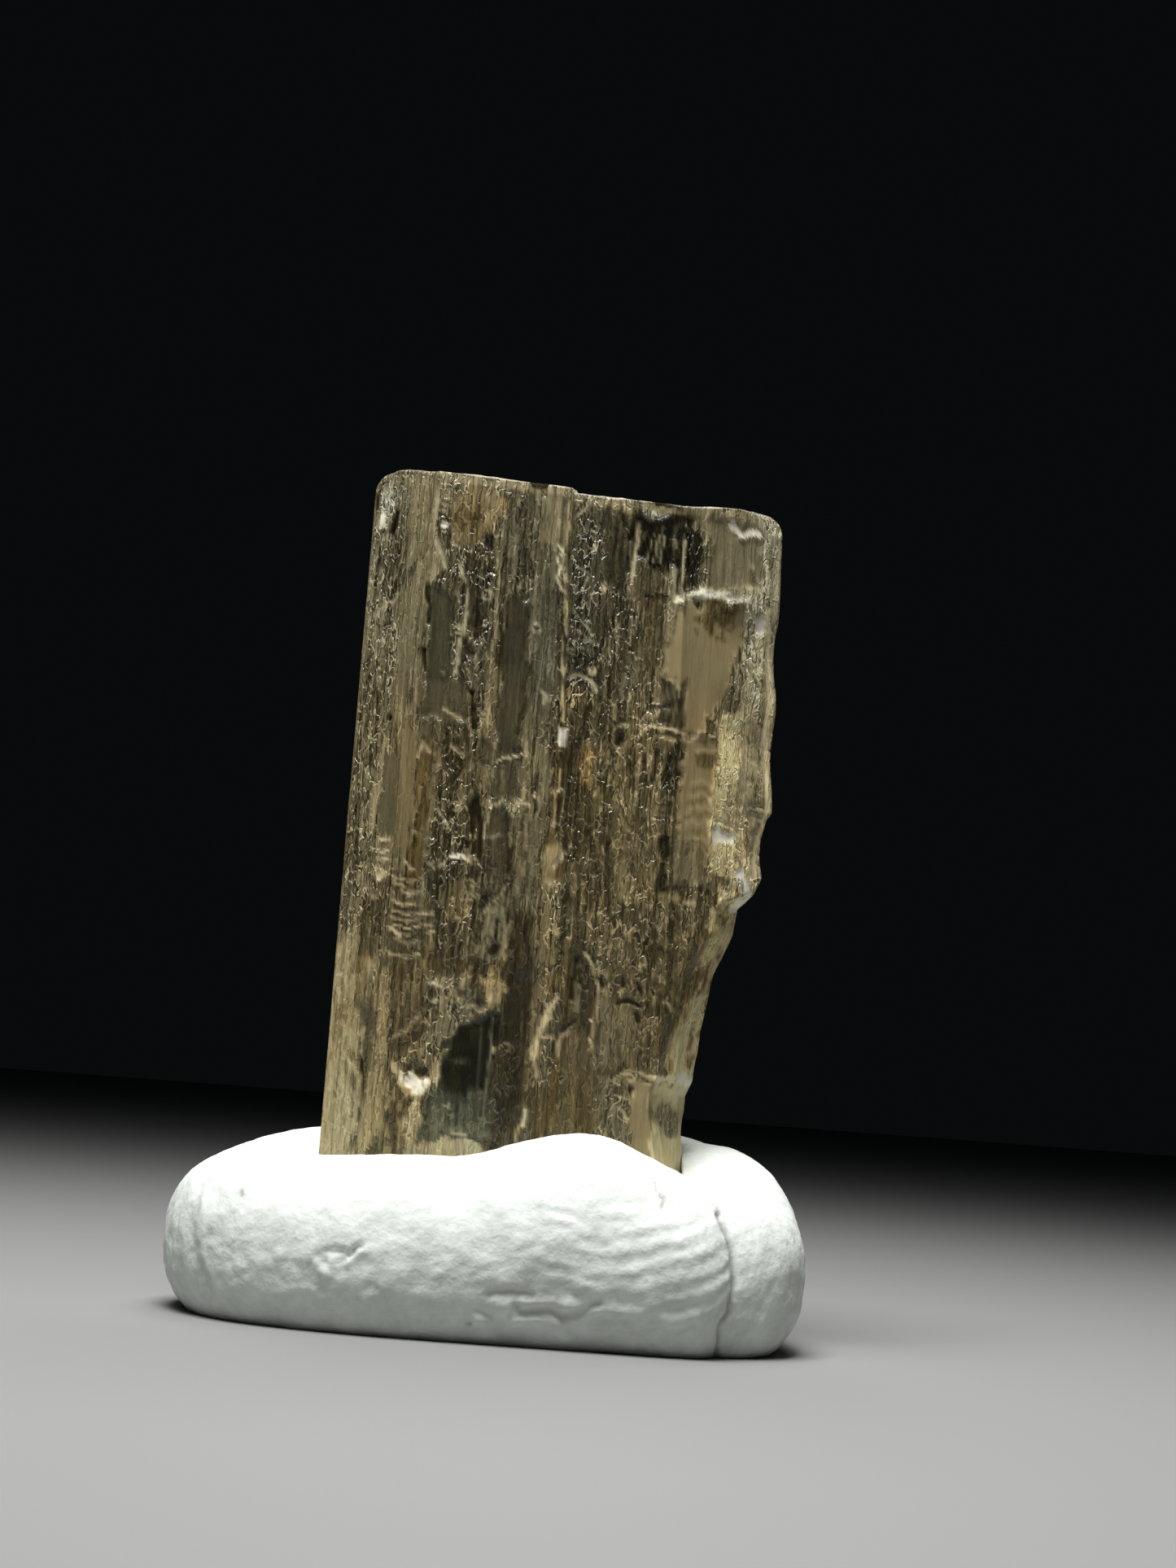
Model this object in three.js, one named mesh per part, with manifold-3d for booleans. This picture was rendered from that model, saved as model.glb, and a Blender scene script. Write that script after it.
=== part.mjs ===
// A scapolite crystal standing in a ring of hand-rolled white mounting putty.
// Millimetres, +Z up. The wide front face of the crystal looks along -Y, and the
// origin lies under the middle of the whole, on the surface that it stands on.
import * as THREE from "three";
import { mergeVertices } from "three/addons/utils/BufferGeometryUtils.js";
import Module from "manifold-3d";

const wasm = await Module();
wasm.setup();

// ---------------------------------------------------------------- driving dimensions

// The crystal is a flattened tetragonal prism: four broad faces with a bevel between
// each two. Its length runs along +Z, the c axis.
const CRYSTAL_LEFT = -4.5;
const CRYSTAL_RIGHT = 6.72;
const CRYSTAL_FRONT = -2.6;
const CRYSTAL_BACK = 2.5;
const CRYSTAL_FOOT = 1.3;
const CRYSTAL_TOP = 21.95;

// Each bevel, as how far it runs along x and along y.
const FRONT_LEFT_BEVEL = [1.85, 1.8];
const FRONT_RIGHT_BEVEL = [2.65, 1.9];
const BACK_LEFT_BEVEL = [1.6, 1.6];
const BACK_RIGHT_BEVEL = [2.0, 1.8];

// The prism narrows by this share of a millimetre for each millimetre of height.
const TAPER = 0.0025;
const TAPER_HEIGHT = 14;

// The top is a basal face that falls to the right, as far as the right bevel, and rises
// to the back. It steps down at the suture, where two parallel crystals have grown together.
const TOP_FALL = 0.045;
const TOP_RISE = 0.12;
const TOP_RIGHT_RISE = 0.25;
const SUTURE_X = 0.95;
const SUTURE_STEP = 0.12;

// How far the break on the right turns to the front, for each millimetre of depth.
const BREAK_SLANT = 0.5;

// Growth ledges run the length of the prism on every face.
const LEDGE_WIDTH = 0.5;
const LEDGE_DEPTH = 0.17;
const LEDGE_RISER = 0.025;
const CORNER_LAND = 0.12;

// Rows of points down the sides: a few round the top edge, then more down to the foot,
// closer together beside the notch.
const ROUND_ROWS = [0.1, 0.45, 1, 1.7];
const SIDE_ROWS = 22;
const ROW_HEIGHTS = [
  [0, 20.8],
  [0.42, 13.6],
  [0.65, 10.6],
  [1, CRYSTAL_FOOT],
];
const END_RINGS = [0.4, 0.8];

// The putty is rolled between the fingers, bent into a ring whose ends meet at the front
// right, and pressed down on a pad of its own.
const ROLL_COLUMNS = 20;
const ROLL_STEP = 0.7;
const ROLL_SINK = 0.5;
const TIP_LENGTH = 1.5;
const ROLL_SQUARENESS = 2.25;
const PAD = { left: -5.6, right: 5.9, front: -2.8, back: 2.8, height: 2.4 };
const SOCKET_GAP = 0.1;

// ---------------------------------------------------------------------- small helpers

/** A repeatable number from 0 to 1 for any number n. */
function scatter(n) {
  const s = Math.sin(n * 127.1 + 311.7) * 43758.5453;
  return s - Math.floor(s);
}

/** 0 below low, 1 above high, and a smooth rise between. */
function ramp(low, high, x) {
  return THREE.MathUtils.smoothstep(x, low, high);
}

/** 1 between low and high, fading to 0 over soft on either side. */
function band(low, high, soft, x) {
  return ramp(low - soft, low, x) * (1 - ramp(high, high + soft, x));
}

/**
 * The value at x of a line through [x, value] points in rising order of x. An eased line
 * is level at each point.
 */
function along(points, x, eased = false) {
  const last = points.length - 1;
  if (x <= points[0][0]) return points[0][1];
  if (x >= points[last][0]) return points[last][1];
  const i = points.findIndex((p) => p[0] > x) - 1;
  const share = (x - points[i][0]) / (points[i + 1][0] - points[i][0]);
  return THREE.MathUtils.lerp(points[i][1], points[i + 1][1], eased ? ramp(0, 1, share) : share);
}

/**
 * A closed solid from a sphere's net of columns and rows. place(column, row) gives each
 * point: rows run from one pole to the other, and columns run anticlockwise as seen from
 * outside the first pole.
 */
function netSolid(columns, rows, place) {
  const net = new THREE.SphereGeometry(1, columns, rows);
  const position = net.getAttribute("position");
  for (let row = 0; row <= rows; row++)
    for (let column = 0; column <= columns; column++) {
      const p = place(column % columns, row);
      position.setXYZ(row * (columns + 1) + column, p.x, p.y, p.z);
    }
  net.deleteAttribute("normal");
  net.deleteAttribute("uv");
  return mergeVertices(net, 1e-5);
}

/** A three.js geometry as a manifold-3d solid. */
function solidOf(geometry) {
  const bare = geometry.clone();
  bare.deleteAttribute("normal");
  bare.deleteAttribute("uv");
  const merged = mergeVertices(bare, 1e-5);
  return new wasm.Manifold(
    new wasm.Mesh({
      numProp: 3,
      vertProperties: merged.getAttribute("position").array,
      triVerts: new Uint32Array(merged.index.array),
    }),
  );
}

/** A manifold-3d solid as a three.js geometry. */
function geometryOf(solid) {
  const mesh = solid.getMesh();
  const geometry = new THREE.BufferGeometry();
  geometry.setAttribute("position", new THREE.BufferAttribute(mesh.vertProperties, 3));
  geometry.setIndex(new THREE.BufferAttribute(mesh.triVerts, 1));
  return geometry;
}

// ------------------------------------------------------------------------ the crystal

// The section's eight corners, anticlockwise from above, from the front left one.
const SECTION = [
  [CRYSTAL_LEFT + FRONT_LEFT_BEVEL[0], CRYSTAL_FRONT],
  [CRYSTAL_RIGHT - FRONT_RIGHT_BEVEL[0], CRYSTAL_FRONT],
  [CRYSTAL_RIGHT, CRYSTAL_FRONT + FRONT_RIGHT_BEVEL[1]],
  [CRYSTAL_RIGHT, CRYSTAL_BACK - BACK_RIGHT_BEVEL[1]],
  [CRYSTAL_RIGHT - BACK_RIGHT_BEVEL[0], CRYSTAL_BACK],
  [CRYSTAL_LEFT + BACK_LEFT_BEVEL[0], CRYSTAL_BACK],
  [CRYSTAL_LEFT, CRYSTAL_BACK - BACK_LEFT_BEVEL[1]],
  [CRYSTAL_LEFT, CRYSTAL_FRONT + FRONT_LEFT_BEVEL[1]],
].map(([x, y]) => new THREE.Vector2(x, y));

// The right edge seen from the front: straight above, with a notch and a long slanting
// break below, as [height, furthest x].
const RIGHT_EDGE = [
  [1.3, 4.95],
  [5.6, 4.98],
  [6.3, 4.99],
  [6.7, 5.16],
  [8.0, 5.24],
  [9.5, 5.52],
  [10.6, 5.94],
  [11.3, 6.02],
  [11.7, 6.42],
  [12.1, 6.56],
  [12.6, 6.46],
  [13.1, 6.46],
  [13.7, 6.6],
  [14.1, 7],
];

// Each side column lies on one ledge of one face: where it starts, how the face looks
// outwards there, and how deep its ledge is.
function sideColumns() {
  const columns = [];
  SECTION.forEach((corner, face) => {
    const next = SECTION[(face + 1) % SECTION.length];
    const run = next.clone().sub(corner);
    const length = run.length();
    run.normalize();
    const out = new THREE.Vector2(run.y, -run.x);
    const count = Math.max(1, Math.round((length - 2 * CORNER_LAND) / LEDGE_WIDTH));
    const widths = Array.from({ length: count }, (_, i) => 0.6 + scatter(face * 31 + i));
    const total = widths.reduce((sum, w) => sum + w, 0);
    columns.push({ at: corner.clone(), out, ledge: -1 });
    let start = CORNER_LAND;
    widths.forEach((width, i) => {
      const end = start + (width / total) * (length - 2 * CORNER_LAND);
      for (const s of [start + LEDGE_RISER, end - LEDGE_RISER])
        columns.push({
          at: corner.clone().addScaledVector(run, s),
          out,
          ledge: face * 31 + i,
        });
      start = end;
    });
  });
  return columns;
}

/** How deep below its face ledge number n lies at height z. */
function ledgeDepth(n, z) {
  if (n < 0) return 0.03;
  const deep = scatter(n * 3.7 + 1) * LEDGE_DEPTH;
  const start = -4 + 26 * scatter(n * 5.3 + 2);
  const long = 5 + 14 * scatter(n * 7.9 + 3);
  const wander = 0.02 * Math.sin(z * (0.5 + scatter(n + 9)) + 6 * scatter(n + 4));
  return deep * (0.35 + 0.65 * band(start, start + long, 0.8, z)) + 0.02 + wander;
}

/** How far the front face is sunk at (x, z): a pit, a clear break and the suture. */
function frontSink(x, z) {
  const pit = 0.3 * Math.max(0, 1 - Math.hypot((x + 1.75) / 0.55, (z - 6.2) / 0.6));
  const window = 0.16 * band(-1.5, 0.7, 0.25, x) * (1 - ramp(7.2, 8.4, z - 0.9 * x));
  const seam = 0.1 * Math.max(0, 1 - Math.abs(x - SUTURE_X) / 0.2);
  return pit + window + seam + (x > SUTURE_X ? 0.07 : 0);
}

/** How far the right edge is sunk at (x, z): shallow steps, one above another. */
function rightSink(x, z) {
  const steps = 0.05 * (1 + Math.sin(2.4 * z + 1.3 * x));
  return steps * band(12.2, 18.5, 0.8, z) * ramp(4.9, 5.8, x);
}

/** The furthest x of the crystal at (y, z): below the notch it is broken off aslant. */
function breakEdge(y, z) {
  const edge = along(RIGHT_EDGE, z);
  const broken = 1 - ramp(11, 12.2, z);
  const slant = BREAK_SLANT * Math.max(0, -0.5 - y) * ramp(2.5, 6, z);
  const waves = 0.09 * Math.sin(2.1 * y + 0.9 * z) + 0.04 * Math.sin(5 * y - 2 * z);
  return edge - broken * (slant + Math.abs(waves));
}

/** What the break takes away: all that lies to the right of it, up to above the notch. */
function breakCut() {
  const height = 15;
  const block = new THREE.BoxGeometry(1, 8, height, 1, 12, 24);
  block.translate(0, 0, height / 2 - 0.3);
  const position = block.getAttribute("position");
  for (let i = 0; i < position.count; i++) {
    const inner = breakEdge(position.getY(i), position.getZ(i));
    position.setX(i, position.getX(i) < 0 ? inner : CRYSTAL_RIGHT + 2);
  }
  return solidOf(block);
}

/** The height of the top face at (x, y). */
function topHeight(x, y) {
  const fall = TOP_FALL * (x - CRYSTAL_LEFT - 1.5) - TOP_RIGHT_RISE * ramp(4, 6, x);
  const step = x > SUTURE_X ? SUTURE_STEP : 0;
  const uneven = 0.03 * Math.sin(2.3 * x + 0.7) * Math.cos(1.9 * y);
  return CRYSTAL_TOP - fall - step + TOP_RISE * (y - CRYSTAL_FRONT) + uneven;
}

/** The side of the prism at one column and height, with no rounding at its ends. */
function sidePoint(column, z) {
  const { at, out, ledge } = column;
  const onFront = out.y < -0.9 && ledge >= 0;
  const onRight = out.x > 0.5;
  const sunk =
    ledgeDepth(ledge, z) +
    (onFront ? frontSink(at.x, z) : 0) +
    (onRight ? rightSink(at.x, z) : 0);
  const narrow = 1 - TAPER * (z - TAPER_HEIGHT);
  const x = CRYSTAL_LEFT + (at.x - out.x * sunk - CRYSTAL_LEFT) * narrow;
  const y = (at.y - out.y * sunk) * narrow;
  return new THREE.Vector3(x, y, z);
}

/** How far the top corners are rounded off, by how near x is to either side. */
function cornerRound(x) {
  const left = 0.5 * (1 - ramp(CRYSTAL_LEFT, CRYSTAL_LEFT + 0.7, x));
  const right = 0.5 * ramp(CRYSTAL_RIGHT - 1.2, CRYSTAL_RIGHT - 0.2, x);
  return 0.1 + left + right;
}

/**
 * The room that the crystal's foot takes in the putty, grown by gap all round: the eight
 * faces without their ledges, cut off at the break on the right.
 */
function footRoom(gap) {
  const widest = 1 - TAPER * (CRYSTAL_FOOT - TAPER_HEIGHT);
  const outline = new THREE.Shape(
    SECTION.map((corner, i) => {
      const before = corner.clone().sub(SECTION[(i + 7) % 8]).normalize();
      const after = SECTION[(i + 1) % 8].clone().sub(corner).normalize();
      const out = new THREE.Vector2(before.y + after.y, -before.x - after.x).normalize();
      const reach = gap / Math.cos(before.angleTo(after) / 2);
      const x = CRYSTAL_LEFT + (corner.x - CRYSTAL_LEFT) * widest;
      return new THREE.Vector2(x, corner.y * widest).addScaledVector(out, reach);
    }),
  );
  const prism = new THREE.ExtrudeGeometry(outline, {
    depth: CRYSTAL_TOP,
    bevelEnabled: false,
  }).translate(0, 0, CRYSTAL_FOOT - gap);
  const broken = new THREE.BoxGeometry(20, 20, 60).translate(
    along(RIGHT_EDGE, 5) + gap - 10,
    0,
    0,
  );
  return solidOf(prism).intersect(solidOf(broken));
}

/** A point of the top or the foot: the edge point drawn in towards the middle. */
function drawnIn(edge, share, height) {
  const x = THREE.MathUtils.lerp((CRYSTAL_LEFT + CRYSTAL_RIGHT) / 2, edge.x, share);
  const y = THREE.MathUtils.lerp(0, edge.y, share);
  return new THREE.Vector3(x, y, height(x, y));
}

/** The whole crystal before its break, from the middle of its top to its foot. */
function prismGeometry() {
  const columns = sideColumns();
  const rings = END_RINGS.length;
  const rows = 2 * rings + ROUND_ROWS.length + SIDE_ROWS + 2;
  const centre = (CRYSTAL_LEFT + CRYSTAL_RIGHT) / 2;
  const place = (column, row) => {
    const side = columns[column];
    const highest = topHeight(side.at.x, side.at.y);
    if (row <= rings) {
      const share = row === 0 ? 0 : END_RINGS[row - 1];
      return drawnIn(sidePoint(side, highest), share, topHeight);
    }
    if (row >= rows - rings) {
      const share = row === rows ? 0 : END_RINGS[rows - 1 - row];
      return drawnIn(sidePoint(side, CRYSTAL_FOOT), share, () => CRYSTAL_FOOT);
    }
    const round = cornerRound(side.at.x);
    const level = row - rings - 1;
    if (level >= ROUND_ROWS.length) {
      const share = (level - ROUND_ROWS.length) / (SIDE_ROWS - 1);
      return sidePoint(side, along(ROW_HEIGHTS, share));
    }
    const down = ROUND_ROWS[level] * round;
    const point = sidePoint(side, highest - down);
    const left = Math.max(0, 1 - down / round);
    const inset = round * (1 - Math.sqrt(1 - left * left));
    const sideways = ramp(0.1, 0.6, Math.abs(side.out.x));
    point.x -= sideways * inset * Math.sign(point.x - centre);
    point.y -= 0.3 * inset * Math.sign(point.y);
    return point;
  };
  return netSolid(columns.length, rows, place);
}

// -------------------------------------------------------------------------- the putty

// Two stretches of the ring: the line that the roll's middle follows, and its half width
// and top height along that line, as [share of the line, size]. The first goes from the
// end at the front right round the left to the back, and the second goes on from there
// round the right, until it stops behind that end.
const FIRST_STRETCH = {
  line: [
    [6.3, -2.85],
    [5.0, -3.2],
    [3, -3.4],
    [0, -3.45],
    [-3.2, -3.35],
    [-5.2, -2.6],
    [-6.05, -0.8],
    [-5.9, 1.0],
    [-4.7, 2.6],
    [-2.6, 3.35],
    [0.5, 3.5],
    [2.5, 3.5],
  ],
  width: [
    [0, 2.2],
    [0.1, 2.4],
    [0.35, 2.4],
    [0.5, 2.15],
    [0.7, 2.15],
    [0.85, 2.3],
    [1, 2.1],
  ],
  top: [
    [0, 3.9],
    [0.16, 5.2],
    [0.3, 4.35],
    [0.45, 4.15],
    [0.56, 4.1],
    [0.75, 4.85],
    [1, 5.1],
  ],
};
const SECOND_STRETCH = {
  line: [
    [-1, 3.4],
    [2, 3.5],
    [4.2, 3.1],
    [5.6, 1.8],
    [6.05, -0.2],
    [6.0, -3.4],
  ],
  width: [
    [0, 2.1],
    [0.4, 2.3],
    [1, 2.15],
  ],
  top: [
    [0, 5.0],
    [0.35, 5.4],
    [0.6, 5.05],
    [1, 4.0],
  ],
};

/** A rounded roll along a level line, flattened a little, with blunt round ends. */
function rollGeometry({ line, width, top }) {
  const path = new THREE.CatmullRomCurve3(line.map(([x, y]) => new THREE.Vector3(x, y, 0)));
  const length = path.getLength();
  const rows = Math.round(length / ROLL_STEP) + 4;
  return netSolid(ROLL_COLUMNS, rows, (column, row) => {
    // Rows crowd towards the tips, where the roll closes in.
    const crowded = (1 - Math.cos((Math.PI * row) / rows)) / 2;
    const share = THREE.MathUtils.lerp(row / rows, crowded, 0.5);
    const centre = path.getPointAt(share);
    const ahead = path.getTangentAt(share);
    const blunt = (Math.min(share, 1 - share) * length) / TIP_LENGTH;
    const close = blunt >= 1 ? 1 : Math.sqrt(Math.max(0, 1 - (1 - blunt) ** 2));
    const angle = (2 * Math.PI * column) / ROLL_COLUMNS;
    const across = Math.cos(angle);
    const upward = Math.sin(angle);
    const power = 2 / ROLL_SQUARENESS;
    const half = (along(top, share, true) + ROLL_SINK) / 2;
    const reach = close * along(width, share, true) * Math.sign(across) * Math.abs(across) ** power;
    const rise = close * half * Math.sign(upward) * Math.abs(upward) ** power;
    return new THREE.Vector3(
      centre.x + ahead.y * reach,
      centre.y - ahead.x * reach,
      half - ROLL_SINK + rise,
    );
  });
}

/** The putty: the ring and its pad pressed together, cut flat below, with a socket. */
function puttyGeometry() {
  const { left, right, front, back, height } = PAD;
  const pad = new THREE.BoxGeometry(right - left, back - front, height);
  pad.translate((left + right) / 2, (front + back) / 2, height / 2);
  const below = new THREE.BoxGeometry(40, 40, 10).translate(0, 0, -5);
  const lump = solidOf(rollGeometry(FIRST_STRETCH))
    .add(solidOf(rollGeometry(SECOND_STRETCH)))
    .add(solidOf(pad))
    .subtract(solidOf(below))
    .subtract(footRoom(SOCKET_GAP));
  return geometryOf(lump);
}

// ----------------------------------------------------------------------- the assembly

/** The crystal: the ledged prism less what has broken off at the right. */
function crystalGeometry() {
  return geometryOf(solidOf(prismGeometry()).subtract(breakCut()));
}

/** One named piece with its finish. */
function piece(name, geometry, finish) {
  const mesh = new THREE.Mesh(geometry, new THREE.MeshStandardMaterial(finish));
  mesh.name = name;
  return mesh;
}

const specimen = new THREE.Group();
specimen.add(
  piece("scapolite_crystal", crystalGeometry(), {
    color: 0x8a7a5c,
    roughness: 0.25,
    metalness: 0,
    transparent: true,
    opacity: 0.8,
  }),
  piece("putty_base", puttyGeometry(), { color: 0xe9ece6, roughness: 0.85, metalness: 0 }),
);

// The origin goes under the middle of everything.
const extent = new THREE.Box3().setFromObject(specimen);
specimen.position.set(
  -(extent.min.x + extent.max.x) / 2,
  -(extent.min.y + extent.max.y) / 2,
  0,
);

export default specimen;
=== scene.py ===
"""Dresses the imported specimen: a scapolite crystal held in a ring of hand-rolled mounting putty.

Sizes in the classes are millimetres in the raw frame of the crystal, with +Z up and the broad
front face looking along -Y. Placement adds the small shift that centres the whole specimen and
turns millimetres into metres.
"""

from __future__ import annotations

import logging
import math
from dataclasses import dataclass, field
from enum import Enum
from typing import ClassVar

import bpy
import numpy as np
from mathutils import Matrix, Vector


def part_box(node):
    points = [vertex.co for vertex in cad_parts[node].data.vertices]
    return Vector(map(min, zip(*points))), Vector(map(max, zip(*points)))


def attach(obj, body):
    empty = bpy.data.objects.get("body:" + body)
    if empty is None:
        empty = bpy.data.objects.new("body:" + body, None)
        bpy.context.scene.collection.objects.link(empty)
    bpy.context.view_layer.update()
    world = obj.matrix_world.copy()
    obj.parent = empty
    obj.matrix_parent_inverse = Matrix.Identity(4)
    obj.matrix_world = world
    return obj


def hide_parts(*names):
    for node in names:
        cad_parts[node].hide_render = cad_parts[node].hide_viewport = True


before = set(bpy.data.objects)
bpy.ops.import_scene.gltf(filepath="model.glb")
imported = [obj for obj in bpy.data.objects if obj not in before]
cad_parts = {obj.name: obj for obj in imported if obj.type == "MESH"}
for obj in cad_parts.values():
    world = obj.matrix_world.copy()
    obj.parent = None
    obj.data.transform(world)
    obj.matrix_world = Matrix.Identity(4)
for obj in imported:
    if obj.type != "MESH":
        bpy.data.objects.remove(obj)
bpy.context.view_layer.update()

LOG = logging.getLogger("specimen")

MM = 0.001

# The camera's place, from which the marks are laid out, and the plane that they are given on.
EYE = (1.81, -68.8, 5.96)
MARK_PLANE = -2.6
ARC_POINTS = 9

# For the noises: odd numbers that set neighbouring cells apart, and the largest 32-bit number.
ODD_NUMBERS = (374761393, 668265263, 2654435761, 974634777, 1274126177, 2246822519)
LARGEST = 2**32 - 1

# Further than anything in the scene, in millimetres, and too small to divide by.
FAR = 1e9
TINY = 1e-9


# ------------------------------------------------------------------------------- number helpers


def scatter(n: np.ndarray | float) -> np.ndarray:
    """A repeatable number from 0 to 1: the fraction of a large multiple of a sine."""
    s = np.sin(np.asarray(n, float) * 127.1 + 311.7) * 43758.5453
    return s - np.floor(s)


def ramp(low: float, high: float, x: np.ndarray | float) -> np.ndarray:
    """0 below low, 1 above high, and the cubic 3t^2 - 2t^3 between."""
    t = np.clip((np.asarray(x, float) - low) / (high - low), 0.0, 1.0)
    return t * t * (3.0 - 2.0 * t)


def band(
    low: np.ndarray | float, high: np.ndarray | float, soft: float, x: np.ndarray | float
) -> np.ndarray:
    """1 between low and high, fading to 0 over soft on either side."""
    x = np.asarray(x, float)
    return ramp(0, 1, (x - low + soft) / soft) * (1 - ramp(0, 1, (x - high) / soft))


def along(points: list[tuple[float, float]], x: np.ndarray | float, eased: bool = False) -> np.ndarray:
    """The value at x of a line through (x, value) points.

    Args:
        points: the points, in rising order of x.
        x: where the line is read.
        eased: makes the line level at each point, by a cubic share between two points.

    Returns:
        The values at x, held at the first and last point's value beyond them.
    """
    xs, values = np.array(points, float).T
    x = np.asarray(x, float)
    if not eased:
        return np.interp(x, xs, values)
    i = np.clip(np.searchsorted(xs, x, side="right") - 1, 0, len(xs) - 2)
    share = ramp(0, 1, (x - xs[i]) / (xs[i + 1] - xs[i]))
    return values[i] + (values[i + 1] - values[i]) * share


def mix(a: np.ndarray | float, b: np.ndarray | float, share: np.ndarray | float) -> np.ndarray:
    """a where share is 0, b where share is 1, and a straight blend between."""
    return a + (b - a) * share


@dataclass(frozen=True)
class Grain:
    """One repeatable smooth noise in space: its swells along x, y and z, its seed and its layers.

    Each layer is half as large and half as strong as the one before.
    """

    size: tuple[float, float, float]
    seed: int
    layers: int = 1

    @staticmethod
    def _corner(cell: np.ndarray, step: tuple[int, int, int], seed: int) -> np.ndarray:
        """A number from 0 to 1 for each cell corner: products with odd numbers, folded by shifts."""
        u = np.uint32
        for_x, for_y, for_z, for_seed, first, second = (u(odd) for odd in ODD_NUMBERS)
        ix, iy, iz = ((cell[..., k] + step[k]).astype(np.int64).astype(u) for k in range(3))
        h = ix * for_x + iy * for_y + iz * for_z + u((seed * int(for_seed)) & LARGEST)
        h = (h ^ (h >> u(13))) * first
        h = (h ^ (h >> u(16))) * second
        return (h ^ (h >> u(15))).astype(float) / LARGEST

    @classmethod
    def _layer(cls, place: np.ndarray, size: tuple[float, float, float], seed: int) -> np.ndarray:
        """One layer of the noise, from 0 to 1.

        Each point's cell is its place over size, and the eight corner numbers are blended by a
        quintic share along each axis.

        Args:
            place: points, (..., 3), in millimetres.
            size: how long one swell is along x, y and z.
            seed: picks one noise of many.

        Returns:
            The noise at each point.
        """
        q = place / np.array(size, float) + 0.37 * seed
        cell = np.floor(q)
        f = q - cell
        f = f * f * f * (f * (f * 6 - 15) + 10)
        total = np.zeros(place.shape[:-1])
        for step in np.ndindex(2, 2, 2):
            x, y, z = (f[..., k] if step[k] else 1 - f[..., k] for k in range(3))
            total += x * y * z * cls._corner(cell, step, seed)
        return total

    def at(self, place: np.ndarray) -> np.ndarray:
        """The noise at each point, from 0 to 1."""
        total, strength, sum_of = 0.0, 1.0, 0.0
        for k in range(self.layers):
            shrunk = tuple(side / 2**k for side in self.size)
            total = total + strength * self._layer(place, shrunk, self.seed + 17 * k)
            sum_of += strength
            strength *= 0.5
        return total / sum_of

    def swing(self, place: np.ndarray) -> np.ndarray:
        """The noise at each point less one half, so that it goes either way."""
        return self.at(place) - 0.5

    def lines(self, place: np.ndarray, sharp: float) -> np.ndarray:
        """Thin wandering lines: 1 where the noise crosses one half, falling off as a power."""
        return (1 - np.abs(2 * self.at(place) - 1)) ** sharp


# --------------------------------------------------------------------------- marks on the skin


class Face(Enum):
    """Which half of the crystal a mark lies on."""

    FRONT = "front"
    BACK = "back"


@dataclass(frozen=True)
class Look:
    """What a mark does to the crystal's skin. None leaves that quality as it is.

    Tone goes from black to white, warm from grey to honey, haze from clear to milky, calm from
    lively to smooth, curl from straight to wavy lines and frost from none to white, which is white
    frost on the cracks and a painted highlight on the glints. Depth is how far the mark is sunk, in
    millimetres.
    """

    tone: float | None = None
    warm: float | None = None
    haze: float | None = None
    calm: float | None = None
    curl: float | None = None
    frost_and_glint: float | None = None
    depth: float = 0.0
    rough: float | None = None


def nearest_run(flat: tuple[float, ...], closed: bool, x: np.ndarray, z: np.ndarray) -> np.ndarray:
    """The distance from each (x, z) to the nearest stretch of a line.

    Args:
        flat: the line's points, x and z in turn.
        closed: joins the last point to the first.
        x: where the distance is wanted.
        z: the same.

    Returns:
        The distances, in millimetres.
    """
    points = np.array(flat, float).reshape(-1, 2)
    ends = np.roll(points, -1, axis=0) if closed else points[1:]
    nearest = np.full(x.shape, FAR)
    for (ax, az), (bx, bz) in zip(points, ends):
        run_x, run_z = bx - ax, bz - az
        long = max(run_x**2 + run_z**2, TINY)
        t = np.clip(((x - ax) * run_x + (z - az) * run_z) / long, 0, 1)
        nearest = np.minimum(nearest, np.hypot(x - ax - t * run_x, z - az - t * run_z))
    return nearest


def stroke(far: np.ndarray, width: float, soft: float) -> np.ndarray:
    """1 within half a width of a line, by the distance from it, fading over soft."""
    return 1 - ramp(width / 2 - soft / 2, width / 2 + soft, far)


@dataclass(frozen=True)
class Patch:
    """A ragged area of the skin, given by its corners, x and z in turn."""

    name: str
    corners: tuple[float, ...]
    look: Look
    soft: float = 0.12
    ragged: float = 0.13
    face: Face = Face.FRONT

    def mask(self, x: np.ndarray, z: np.ndarray) -> np.ndarray:
        """1 well inside the outline and 0 outside.

        The signed distance is the shortest distance to the outline, negative where a ray to the
        left crosses the outline an even number of times.
        """
        nearest = nearest_run(self.corners, True, x, z)
        points = np.array(self.corners, float).reshape(-1, 2)
        inside = np.zeros(x.shape, bool)
        for (ax, az), (bx, bz) in zip(points, np.roll(points, -1, axis=0)):
            if bz != az:
                inside ^= ((az > z) != (bz > z)) & (x < (bx - ax) * (z - az) / (bz - az) + ax)
        return ramp(-self.soft, self.soft, np.where(inside, nearest, -nearest))


@dataclass(frozen=True)
class Trail:
    """A line on the skin, such as a crack or a groove, its points x and z in turn."""

    name: str
    path: tuple[float, ...]
    width: float
    look: Look
    soft: float = 0.04
    ragged: float = 0.04
    face: Face = Face.FRONT

    def mask(self, x: np.ndarray, z: np.ndarray) -> np.ndarray:
        """1 on the line and 0 off it."""
        return stroke(nearest_run(self.path, False, x, z), self.width, self.soft)


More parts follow.
